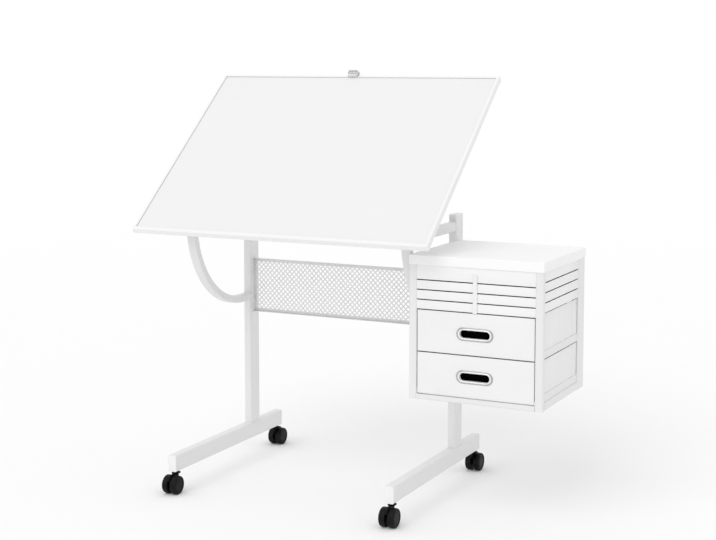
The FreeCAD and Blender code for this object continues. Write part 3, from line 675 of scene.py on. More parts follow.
class Recipes:
    """The Geometry Nodes trees for what repeats."""

    HEAD_SIDES = 18
    HEAD_STEPS = ((0.35, 0.9), (0.25, 0.72), (0.0, 0.6), (-0.55, 1.0))
    RIPPLE_TURN = 1.6
    RIPPLE_SWELL = 0.16
    BEAD_SIDES = 8

    def __init__(self) -> None:
        """Builds the trees."""
        self.perforation = self._perforation()
        self.stitches = self._stitches()
        self.screws = self._screws()
        self.beads = self._beads()
        self.slats = self._slats()

    @staticmethod
    def _perforation() -> Recipe:
        """A sheet of staggered diamond holes, upright and facing the front.

        Returns:
            The recipe.
        """
        tree = Recipe("diamond_perforation", (
            ("Columns", "Int"), ("Rows", "Int"), ("Pitch Across", "Float"), ("Pitch Up", "Float"),
            ("Open Share", "Float"), ("Thickness", "Float"), ("Centre", "Vector")))
        entry = tree.entry
        pitches = entry["Pitch Across"], entry["Pitch Up"]
        rhomb = tree.geo("MeshCircle", {"Vertices": 4, "Radius": 0.5}, fill_type="NGON")
        cell = tree.geo("Transform", {"Geometry": rhomb, "Scale": tree.vector(*pitches, 1.0)})
        inset = tree.add("GeometryNodeExtrudeMesh", {
            "Mesh": cell, "Offset Scale": 0.0, "Individual": True}, mode="FACES").outputs
        narrowed = tree.geo("ScaleElements", {
            "Geometry": inset["Mesh"], "Selection": inset["Top"], "Scale": entry["Open Share"]},
            domain="FACE")
        strand = tree.geo("DeleteGeometry", {"Geometry": narrowed, "Selection": inset["Top"]}, domain="FACE")
        fields = []
        for fewer in (0.0, 1.0):
            counts = [tree.math("SUBTRACT", entry[name], fewer) for name in ("Columns", "Rows")]
            spans = [tree.math("MULTIPLY", tree.math("SUBTRACT", count, 1.0), pitch)
                     for count, pitch in zip(counts, pitches)]
            grid = tree.geo("MeshGrid", {
                "Vertices X": counts[0], "Vertices Y": counts[1], "Size X": spans[0], "Size Y": spans[1]})
            fields.append(tree.geo("InstanceOnPoints", {"Points": grid, "Instance": strand}))
        flat = tree.join(*fields)
        front = tree.geo("ExtrudeMesh", {
            "Mesh": flat, "Offset Scale": entry["Thickness"], "Individual": False}, mode="FACES")
        closed = tree.join(front, tree.geo("FlipFaces", {0: flat}))
        return tree.end(tree.geo("Transform", {
            "Geometry": closed, "Rotation": (pi / 2, 0.0, 0.0), "Translation": entry["Centre"]}))

    @staticmethod
    def _stitches() -> Recipe:
        """Short threads along each path.

        Returns:
            The recipe.
        """
        tree = Recipe("stitch_rows", (("Pitch", "Float"), ("Length", "Float"), ("Thread", "Float")))
        entry = tree.entry
        curve = tree.geo("MeshToCurve", {"Mesh": entry["Geometry"]})
        points = tree.geo("ResampleCurve", {"Curve": curve, "Length": entry["Pitch"]}, mode="LENGTH")
        ball = tree.geo("MeshUVSphere", {"Segments": 6, "Rings": 5, "Radius": 0.5})
        form = tree.vector(entry["Length"], entry["Thread"], entry["Thread"])
        thread = tree.geo("Transform", {"Geometry": ball, "Scale": form})
        along = tree.align(tree.geo("InputTangent", {}), "X")
        return tree.end(tree.geo("InstanceOnPoints", {
            "Points": points, "Instance": thread, "Rotation": along}))

    @staticmethod
    def _screws() -> Recipe:
        """A domed head with a socket at each point, along the point's facing attribute.

        Returns:
            The recipe.
        """
        tree = Recipe("screw_heads", (("Radius", "Float"), ("Height", "Float")))
        entry = tree.entry
        drum = tree.add("GeometryNodeMeshCylinder", {
            "Vertices": Recipes.HEAD_SIDES, "Radius": entry["Radius"], "Depth": entry["Height"]}).outputs
        mesh, top = drum["Mesh"], drum["Top"]
        for rise, share in Recipes.HEAD_STEPS:
            step = tree.add("GeometryNodeExtrudeMesh", {
                "Mesh": mesh, "Selection": top, "Offset Scale": tree.math("MULTIPLY", entry["Height"], rise)},
                mode="FACES").outputs
            top = step["Top"]
            mesh = tree.geo("ScaleElements", {
                "Geometry": step["Mesh"], "Selection": top, "Scale": share}, domain="FACE")
        facing = tree.geo("InputNamedAttribute", {"Name": "facing"}, data_type="FLOAT_VECTOR")
        return tree.end(tree.geo("InstanceOnPoints", {
            "Points": entry["Geometry"], "Instance": mesh, "Rotation": tree.align(facing, "Z")}))

    @staticmethod
    def _beads() -> Recipe:
        """A rippled weld bead along each path.

        Returns:
            The recipe.
        """
        tree = Recipe("weld_beads", (("Radius", "Float"), ("Ripple", "Float")))
        entry = tree.entry
        curve = tree.geo("MeshToCurve", {"Mesh": entry["Geometry"]})
        line = tree.geo("ResampleCurve", {"Curve": curve, "Length": entry["Ripple"]}, mode="LENGTH")
        turn = tree.math("MULTIPLY", tree.geo("InputIndex", {}), Recipes.RIPPLE_TURN)
        swell = tree.math("MULTIPLY_ADD", tree.math("SINE", turn), Recipes.RIPPLE_SWELL, 1.0)
        swollen = tree.geo("SetCurveRadius", {"Curve": line, "Radius": swell})
        wire = tree.geo("CurvePrimitiveCircle", {"Resolution": Recipes.BEAD_SIDES, "Radius": entry["Radius"]})
        return tree.end(tree.geo("CurveToMesh", {
            "Curve": swollen, "Profile Curve": wire, "Fill Caps": True}))

    @staticmethod
    def _slats() -> Recipe:
        """Copies of one slat, one over the other.

        Returns:
            The recipe.
        """
        tree = Recipe("slat_stack", (("Count", "Int"), ("Pitch", "Float")))
        step = tree.vector(0.0, 0.0, tree.entry["Pitch"])
        line = tree.geo("MeshLine", {"Count": tree.entry["Count"], "Offset": step}, mode="OFFSET")
        return tree.end(tree.geo("InstanceOnPoints", {"Points": line, "Instance": tree.entry["Geometry"]}))


@dataclass
class ScrewRow:
    """Screw heads on one body.

    Args:
        name: The piece's name.
        body: The body that carries them.
        radius: Radius of a head.
        height: Height of a head's drum.
        slot: Their finish.
        heads: Place and way of each head.
    """

    name: str
    body: str
    radius: float
    height: float
    slot: Slot = Slot.METAL
    heads: list[tuple[Vector, Vector]] = field(default_factory=list)

    def build(self, shop: Workshop) -> None:
        """Makes the heads and hangs them on their body.

        Args:
            shop: The materials and recipes.
        """
        mesh = bpy.data.meshes.new(f"{self.name}_points")
        mesh.from_pydata([place for place, _ in self.heads], [], [])
        facing = mesh.attributes.new("facing", "FLOAT_VECTOR", "POINT")
        for value, (_, way) in zip(facing.data, self.heads):
            value.vector = way
        piece = shop.recipes.screws.make(self.name, mesh, shop.materials[self.slot],
                                         {"Radius": self.radius, "Height": self.height})
        shop.hang(piece, self.body, self.slot)


@dataclass(frozen=True)
class Stitching:
    """Rows of stitches in cloth.

    Args:
        pitch: Distance of two stitches.
        length: Length of a stitch.
        thread: Thickness of the thread.
    """

    pitch: float = 0.0045
    length: float = 0.0034
    thread: float = 0.0007

    def sew(self, shop: Workshop, name: str, body: str, paths: Iterable[Sequence[Vector]]) -> None:
        """Sews along paths and hangs the stitches on their body.

        Args:
            shop: The materials and recipes.
            name: The piece's name.
            body: The body that carries it.
            paths: The corner points of each row.
        """
        mesh = path_mesh(f"{name}_paths", paths, closed=False)
        piece = shop.recipes.stitches.make(name, mesh, shop.materials[Slot.CLOTH], {
            "Pitch": self.pitch, "Length": self.length, "Thread": self.thread})
        shop.hang(piece, body, Slot.CLOTH)


@dataclass
class Assembly:
    """A sub-assembly of the table.

    Args:
        shop: The materials and recipes.
    """

    shop: Workshop

    def build(self) -> None:
        """Makes the sub-assembly's pieces."""
        raise NotImplementedError


@dataclass
class Stand(Assembly):
    """The curved arms, the weld beads and the bolts of the tube stand.

    Args:
        arm_thick: Height of the arm's section.
        arm_corner: Radius of the section's corners.
        bend_steps: Faces along an arm's bend.
        bead_radius: Radius of a weld bead.
        bead_ripple: Distance between points along a bead.
        bolt_radius: Radius of a bolt head.
        bolt_height: Height of a bolt head's drum.
        fold_shares: Heights of the bolts in the panel's folds, as shares of the panel's height.
        fold_reach: Place of those bolts, as a share of a fold's depth.
        fold_sheet: Thickness of the folds.
        stile_shares: Heights of the bolts that hold the cabinet, as shares of a stile's height.
    """

    arm_thick: float = 0.020
    arm_corner: float = 0.003
    bend_steps: int = 40
    bead_radius: float = 0.0013
    bead_ripple: float = 0.0012
    bolt_radius: float = 0.0055
    bolt_height: float = 0.003
    fold_shares: tuple[float, ...] = (0.22, 0.78)
    fold_reach: float = 0.4
    fold_sheet: float = 0.0012
    stile_shares: tuple[float, ...] = (0.1, 0.9)

    def build(self) -> None:
        """Makes the stand's pieces."""
        for side in Side:
            self._arm(side)
        self._beads()
        self._bolts()

    def _arm(self, side: Side) -> None:
        """Sweeps an arm's rounded section along its straight run and its quarter bend.

        Args:
            side: The arm's side.
        """
        node = f"{side.label}_arm"
        low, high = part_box(node)
        radius = high.z - low.z - self.arm_thick / 2
        bend = Vector(((low.x + high.x) / 2, low.y + self.arm_thick / 2 + radius, high.z))
        section = rounded_rectangle(high.x - low.x, self.arm_thick, self.arm_corner)

        def ring(along: float, angle: float) -> Ring:
            """Places the section.

            Args:
                along: Its distance from the bend along the straight run.
                angle: Its angle round the bend's middle.

            Returns:
                Its points.
            """
            outward = Vector((0.0, cos(angle), sin(angle)))
            middle = bend + outward * radius + Vector((0.0, along, 0.0))
            return [middle + Vector((across, 0.0, 0.0)) + outward * up for across, up in section]

        turns = [-pi / 2 * (1 + step / self.bend_steps) for step in range(self.bend_steps + 1)]
        shape = Shape()
        shape.loft([ring(high.y - bend.y, turns[0]), *(ring(0.0, turn) for turn in turns)])
        self.shop.dress(shape, f"{node}_tube", "frame", Slot.STEEL, node)

    def _beads(self) -> None:
        """Lays a bead round each post's foot and each arm's and rail's end on its post."""
        paths = []
        for side in Side:
            low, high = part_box(f"{side.label}_post")
            paths.append([Vector((x, y, low.z)) for x, y in (
                (low.x, low.y), (high.x, low.y), (high.x, high.y), (low.x, high.y))])
            for node in ("arm", "rail"):
                end_low, end_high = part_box(f"{side.label}_{node}")
                top = end_low.z + self.arm_thick if node == "arm" else end_high.z
                left, right = max(end_low.x, low.x), min(end_high.x, high.x)
                paths.append([Vector((x, low.y, z)) for x, z in (
                    (left, end_low.z), (right, end_low.z), (right, top), (left, top))])
        mesh = path_mesh("bead_paths", paths, closed=True)
        piece = self.shop.recipes.beads.make("weld_beads", mesh, self.shop.materials[Slot.STEEL],
                                             {"Radius": self.bead_radius, "Ripple": self.bead_ripple})
        self.shop.hang(piece, "frame", Slot.STEEL)

    def _bolts(self) -> None:
        """Sets the bolts that hold the panel's folds and the cabinet on the posts."""
        bolts = ScrewRow("stand_bolts", "frame", self.bolt_radius, self.bolt_height, Slot.STEEL)
        low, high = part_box("mesh_panel")
        middle = low.y + self.fold_reach * (high.y - low.y)
        for share in self.fold_shares:
            height = low.z + share * (high.z - low.z)
            for x, way in ((low.x + self.fold_sheet, 1.0), (high.x - self.fold_sheet, -1.0)):
                bolts.heads.append((Vector((x, middle, height)), Vector((way, 0.0, 0.0))))
        post_low, post_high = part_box("right_post")
        middle = (post_low.y + post_high.y) / 2
        low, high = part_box("rear_left_stile")
        for share in self.stile_shares:
            height = low.z + share * (high.z - low.z)
            bolts.heads.append((Vector((post_low.x, middle, height)), Vector((-1.0, 0.0, 0.0))))
        bolts.build(self.shop)


@dataclass
class PerforatedPanel(Assembly):
    """The folded sheet with diamond holes between the posts.

    Args:
        pitch_across: Distance of two holes in a row.
        pitch_up: Distance of two rows of the same grid.
        open_share: Share of a cell's width that its hole takes.
        border: Plain margin round the holes.
        sheet: Thickness of the margin and the folds.
        strand: Thickness of the strands.
        lip: Depth of the folds along the top and the bottom.
        fold_round: Radius of the sheet's edges.
    """

    pitch_across: float = 0.0144
    pitch_up: float = 0.0149
    open_share: float = 0.70
    border: float = 0.010
    sheet: float = 0.0012
    strand: float = 0.0009
    lip: float = 0.008
    fold_round: float = 0.0004

    def build(self) -> None:
        """Makes the perforated field and its folded margin as one piece."""
        node = "mesh_panel"
        low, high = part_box(node)
        border, sheet, lip = self.border, self.sheet, self.lip
        columns = ceil((high.x - low.x - 2 * border) / self.pitch_across)
        rows = ceil((high.z - low.z - 2 * border) / self.pitch_up)
        centre = ((low.x + high.x) / 2, high.y - (sheet - self.strand) / 2, (low.z + high.z) / 2)
        holes = self.shop.recipes.perforation.make(
            "panel_field", bpy.data.meshes.new("panel_start"), self.shop.node_materials[node],
            {"Columns": columns, "Rows": rows, "Pitch Across": self.pitch_across, "Pitch Up": self.pitch_up,
             "Open Share": self.open_share, "Thickness": self.strand, "Centre": centre})
        shape = Shape()
        shape.include(holes.data)
        back = high.y - sheet
        margins = (
            ((low.x, back, low.z), (high.x, high.y, low.z + border)),
            ((low.x, back, high.z - border), (high.x, high.y, high.z)),
            ((low.x, back, low.z + border), (low.x + border, high.y, high.z - border)),
            ((high.x - border, back, low.z + border), (high.x, high.y, high.z - border)),
            ((low.x, low.y, low.z), (low.x + sheet, back, high.z)),
            ((high.x - sheet, low.y, low.z), (high.x, back, high.z)),
            ((low.x + sheet, back - lip, low.z), (high.x - sheet, back, low.z + sheet)),
            ((low.x + sheet, back - lip, high.z - sheet), (high.x - sheet, back, high.z)),
        )
        for corner, opposite in margins:
            shape.box(corner, opposite, self.fold_round)
        self.shop.dress(shape, "perforated_panel", "frame", Slot.STEEL, node)


@dataclass
class TiltGear(Assembly):
    """The lock knobs of the stays and the screws of the channels.

    Args:
        lobes: Lobes round a knob.
        lobe_depth: Share of a knob's radius that the hollows lose.
        knob_steps: Points round a knob.
        knob_profile: Places along a knob and radii, as shares of its length and its radius.
        screw_radius: Radius of a channel screw's head.
        screw_height: Height of its drum.
        screw_shares: Places of the screws along a channel.
        channel_sheet: Thickness of a channel's web.
    """

    lobes: int = 8
    lobe_depth: float = 0.10
    knob_steps: int = 96
    knob_profile: Pairs = (
        (0.0, 0.5), (0.06, 0.62), (0.12, 0.9), (0.2, 0.985), (0.3, 1.0), (0.75, 1.0), (0.88, 0.96),
        (0.96, 0.86), (1.0, 0.7), (1.0, 0.42), (0.96, 0.38), (0.96, 0.1))
    screw_radius: float = 0.004
    screw_height: float = 0.0016
    screw_shares: tuple[float, ...] = (0.30, 0.62, 0.95)
    channel_sheet: float = 0.003

    def build(self) -> None:
        """Makes the knobs and the screws."""
        for side in Side:
            self._knob(side)
        self._screws()

    def _knob(self, side: Side) -> None:
        """Turns a lobed grip with a rounded rim.

        Args:
            side: The knob's side.
        """
        node = f"{side.label}_knob"
        low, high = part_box(node)
        length, radius = high.x - low.x, (high.y - low.y) / 2
        near = high.x if side is Side.RIGHT else low.x
        shape = Shape()
        shape.lathe([(length * place, radius * share) for place, share in self.knob_profile],
                    (near, (low.y + high.y) / 2, (low.z + high.z) / 2), (-float(side.value), 0.0, 0.0),
                    self.knob_steps, self._lobe)
        self.shop.dress(shape, f"{side.label}_lobed_knob", node, Slot.PLASTIC, node)

    def _lobe(self, angle: float) -> float:
        """The share of a knob's radius at an angle."""
        return 1.0 - self.lobe_depth * (0.5 + 0.5 * cos(self.lobes * angle))

    def _screws(self) -> None:
        """Sets the screws that hold each channel's web on the board's underside."""
        low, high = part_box("board_panel")
        along = Vector((0.0, high.y - low.y, high.z - low.z)).normalized()
        board_down = Vector((0.0, along.z, -along.y))
        screws = ScrewRow("channel_screws", "tabletop", self.screw_radius, self.screw_height)
        for side in Side:
            points = [vertex.co for vertex in frame["nodes"][f"{side.label}_channel"].data.vertices]
            web = min(point.dot(board_down) for point in points)
            ends = [pick(point.dot(along) for point in points) for pick in (min, max)]
            box_low, box_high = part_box(f"{side.label}_channel")
            for share in self.screw_shares:
                reach = ends[0] + share * (ends[1] - ends[0])
                place = along * reach + board_down * (web + self.channel_sheet)
                place.x = (box_low.x + box_high.x) / 2
                screws.heads.append((place, board_down))
        screws.build(self.shop)


@dataclass
class BoardFittings(Assembly):
    """The thin grey bead where the board's panel meets its rim, which paints the shade of the groove there,
    and the spring clip on the rear edge.

    Args:
        bead: Radius of the bead that paints the groove's shade.
        bead_turns: Angles of the bead's faces, in radians.
        plate: Thickness of the clip's plates.
        edge: Radius of their edges.
        ear: Thickness of the clip's ears.
        ear_round: Radius of the ears' corners.
        ear_share: Share of its outline that an ear's face keeps inside its rounded edge.
        nose: How far the jaw reaches over the board.
        bend: Radius of the jaw's bends.
        bend_steps: Faces along a bend.
        jaw_share: Share of its thickness that the jaw keeps at its sides.
        pin_radius: Radius of the pin.
        pin_steps: Points round the pin.
        head_radius: Radius of the pin's heads.
        head_height: Height of the pin's heads.
        head_steps: Points round a head.
        play: Gap between the jaw and the ears.
    """

    bead: float = 0.0008
    bead_turns: tuple[float, ...] = (0.3, 0.6, 0.9, 1.2)
    plate: float = 0.002
    edge: float = 0.0005
    ear: float = 0.003
    ear_round: float = 0.0028
    ear_share: float = 0.9
    nose: float = 0.009
    bend: float = 0.0024
    bend_steps: int = 6
    jaw_share: float = 0.6
    pin_radius: float = 0.0015
    pin_steps: int = 24
    head_radius: float = 0.0024
    head_height: float = 0.0011
    head_steps: int = 32
    play: float = 0.0005

    def build(self) -> None:
        """Makes the grey bead that paints the groove's shade, and the clip."""
        self._bead()
        self._clip_base()
        self._clip_jaw()

    @staticmethod
    def _joint(name: str) -> dict:
        """Looks a joint up in the record."""
        return next(joint for joint in frame["record"]["behaviour"]["joints"] if joint["name"] == name)

    @property
    def axes(self) -> Matrix:
        """The board's axes at rest: along its hinge, up its slope and off its face.

        Returns:
            Their place and turn in the frame.
        """
        hinge = self._joint("board_tilt")
        tilt = radians(-hinge["range_deg"][0])
        return Matrix.Translation(hinge["pos_m"]) @ Matrix.Rotation(tilt, 4, "X")

    def _box(self, node: str) -> tuple[Vector, Vector]:
        """Measures a CAD node along the board's axes.

        Args:
            node: The node.

        Returns:
            Its lowest and highest corner.
        """
        turned = self.axes.inverted()
        points = [turned @ vertex.co for vertex in frame["nodes"][node].data.vertices]
        return Vector(map(min, zip(*points))), Vector(map(max, zip(*points)))

    def _bead(self) -> None:
        """Runs the bead round the panel, mitred at the corners; its grey is painted shade for the groove
        between the panel and its rim.
        """
        low, high = self._box("board_panel")
        buried = -self.bead / 10
        profile = [(buried, buried), (self.bead, buried)]
        profile += [(self.bead * cos(turn), self.bead * sin(turn)) for turn in self.bead_turns]
        profile.append((buried, self.bead))
        corners = ((low.x, low.y, 1, 1), (high.x, low.y, -1, 1),
                   (high.x, high.y, -1, -1), (low.x, high.y, 1, -1))
        rings = [[Vector((x + across * inset, y + along * inset, high.z + rise)) for inset, rise in profile]
                 for x, y, across, along in corners]
        shape = Shape()
        shape.loft(rings, looped=True)
        shape.turn(self.axes)
        # The bead wears the darker bright metal: painted shade along the groove between the panel and its
        # rim.
        self.shop.dress(shape, "board_bead", "tabletop", Slot.METAL)

    def _clip_base(self) -> None:
        """Makes the clip's back plate with its two round-topped ears."""
        node = "clip_base"
        low, high = self._box(node)
        face = self._box("rear_edge")[1].z
        shape = Shape()
        shape.box((low.x + self.edge, low.y, low.z),
                  (high.x - self.edge, low.y + self.plate, face), self.edge)
        foot = face - self.plate
        along, up = (low.y + high.y) / 2, (foot + high.z) / 2
        outline = rounded_rectangle(high.y - low.y, high.z - foot, self.ear_round)
        levels = ((0.0, self.ear_share), (self.edge, 1.0),
                  (self.ear - self.edge, 1.0), (self.ear, self.ear_share))
        for start in (low.x, high.x - self.ear):
            shape.loft([[Vector((start + across, along + share * y, up + share * z)) for y, z in outline]
                        for across, share in levels])
        shape.turn(self.axes)
        self.shop.dress(shape, "clip_back_plate", "tabletop", Slot.METAL, node)

    def _clip_jaw(self) -> None:
        """Bends the clip's jaw from one sheet, on a pin with two heads."""
        node = "clip_jaw"
        low, high = self._box(node)
        _, pin, height = self.axes.inverted() @ Vector(self._joint("clip_squeeze")["pos_m"])
        nose = self._box("rear_edge")[1].y - self.nose + self.plate / 2
        turns = [pi / 2 * step / self.bend_steps for step in range(self.bend_steps + 1)]
        line = [Vector((nose, low.z))]
        line += [Vector((nose + self.bend * (1 - cos(turn)), height - self.bend * (1 - sin(turn))))
                 for turn in turns]
        line += [Vector((pin - self.bend * (1 - sin(turn)), height + self.bend * (1 - cos(turn))))
                 for turn in turns]
        line.append(Vector((pin, high.z)))
        steps = zip(line[:1] + line, line[1:] + line[-1:])
        ways = [(after - before).normalized() for before, after in steps]
        offs = [Vector((-way.y, way.x)) * self.plate / 2 for way in ways]
        inset = self.ear + self.play
        left, right = low.x + inset, high.x - inset
        rings = []
        for x, share in ((left, self.jaw_share), (left + self.edge, 1.0),
                         (right - self.edge, 1.0), (right, self.jaw_share)):
            outline = [point + off * share for point, off in zip(line, offs)]
            outline += [point - off * share for point, off in reversed(list(zip(line, offs)))]
            rings.append([Vector((x, *point)) for point in outline])
        shape = Shape()
        shape.loft(rings)
        shape.lathe([(0.0, self.pin_radius), (right - left, self.pin_radius)], (left, pin, height), ALONG_X,
                    self.pin_steps)
        head = [(self.play / 2, self.head_radius), (self.head_height * 0.6, self.head_radius),
                (self.head_height, self.head_radius * 0.7)]
        for x, way in ((low.x, -1.0), (high.x, 1.0)):
            shape.lathe(head, (x, pin, height), (way, 0.0, 0.0), self.head_steps)
        shape.turn(self.axes)
        self.shop.dress(shape, "clip_bent_jaw", "clip_jaw", Slot.METAL, node)


@dataclass
class Cabinet(Assembly):
    """The slats, the strap and the covered side panels of the hung cabinet.

    Args:
        slat_pitch: Distance of two slats.
        slat_height: Height of a slat with a gap over it.
        slat_count: Slats under the top one.
        slat_round: Radius of a slat's edges.
        strap_thick: Thickness of the strap.
        strap_round: Radius of the strap's edges, as a share of its thickness.
        strap_steps: Rows of faces along the strap.
        strap_lump: How far the strap swells over a slat.
        strap_fall: How steeply it falls off beside a slat; lower is steeper.
        strap_pinch: Share of its width that the strap loses at a gap.
        panel_round: Radius of a side panel's edges.
        piping_insets: Places of the piping, from a side panel's rear end.
        piping_width: Width of the piping.
        piping_proud: How far the piping stands out.
        seam_end: Distance of the seam's ends from a side panel's edges.
        stitching: The side panels' seam.
    """

    slat_pitch: float = 0.025
    slat_height: float = 0.0222
    slat_count: int = 3
    slat_round: float = 0.0008
    strap_thick: float = 0.0014
    strap_round: float = 0.45
    strap_steps: int = 64
    strap_lump: float = 0.0010
    strap_fall: float = 0.6
    strap_pinch: float = 0.10
    panel_round: float = 0.0007
    piping_insets: tuple[float, ...] = (0.010, 0.034)
    piping_width: float = 0.0026
    piping_proud: float = 0.0012
    seam_end: float = 0.004
    stitching: Stitching = Stitching()

    def build(self) -> None:
        """Makes the four walls of slats, the strap and the side panels."""
        for wall, height in (("front", self.slat_height), ("right", self.slat_height),
                             ("left", self.slat_pitch), ("rear", self.slat_pitch)):
            self._slats(f"{wall}_slats", height)
        self._strap()
        self._side_panels()

    def _slats(self, node: str, height: float) -> None:
        """Stacks a wall's slats under its higher top slat.

        Args:
            node: The wall's CAD node.
            height: Height of one of its slats.
        """
        low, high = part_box(node)
        material = self.shop.node_materials[node]
        first = Shape()
        first.box(low, (high.x, high.y, low.z + height), self.slat_round)
        start = first.piece(f"{node}_first", material)
        stack = self.shop.recipes.slats.make(f"{node}_stack", start.data, material,
                                             {"Count": self.slat_count, "Pitch": self.slat_pitch})
        bpy.data.objects.remove(start)
        shape = Shape()
        shape.include(stack.data)
        shape.box((low.x, low.y, low.z + self.slat_count * self.slat_pitch), high, self.slat_round)
        self.shop.dress(shape, f"{node}_rounded", "frame", Slot.STEEL, node)

    def _strap(self) -> None:
        """Lays a tape over the slats, drawn in a little at each gap."""
        node = "slat_strap"
        low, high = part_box(node)
        slat_low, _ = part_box("front_slats")
        section = rounded_rectangle(high.x - low.x, self.strap_thick, self.strap_thick * self.strap_round)
        rings = []
        for step in range(self.strap_steps + 1):
            height = low.z + (high.z - low.z) * step / self.strap_steps
            phase = (height - slat_low.z) % self.slat_pitch / self.slat_pitch
            lift = self.strap_lump * sin(pi * phase) ** self.strap_fall
            pinch = 1.0 - self.strap_pinch * (1.0 - sin(pi * phase)) ** 4
            middle = Vector(((low.x + high.x) / 2, high.y - self.strap_thick / 2 - lift, height))
            rings.append([middle + Vector((across * pinch, up, 0.0)) for across, up in section])
        shape = Shape()
        shape.loft(rings)
        self.shop.dress(shape, "woven_strap", "frame", Slot.CLOTH, node)

    def _side_panels(self) -> None:
        """Covers the side panels, with piping and a seam near their rear ends."""
        node = "side_panels"
        points = [vertex.co for vertex in frame["nodes"][node].data.vertices]
        faces, (front, rear), levels = (
            sorted({round(point[axis], 5) for point in points}) for axis in range(3))
        seam = rear - sum(self.piping_insets) / 2
        shape = Shape()
        seams = []
        for inner, outer in ((faces[1], faces[0]), (faces[2], faces[3])):
            proud = outer + copysign(self.piping_proud, outer - inner)
            middle = (inner + outer) / 2
            for bottom, top in zip(levels[::2], levels[1::2]):
                shape.box((min(inner, outer), front, bottom),
                          (max(inner, outer), rear, top), self.panel_round)
                for inset in self.piping_insets:
                    near, far = rear - inset - self.piping_width, rear - inset
                    shape.box((min(middle, proud), near, bottom + self.panel_round),
                              (max(middle, proud), far, top - self.panel_round), self.panel_round)
                seams.append([Vector((outer, seam, bottom + self.seam_end)),
                              Vector((outer, seam, top - self.seam_end))])
        self.shop.dress(shape, "side_panels_covered", "frame", Slot.CLOTH, node)
        self.stitching.sew(self.shop, "side_panel_stitches", "frame", seams)


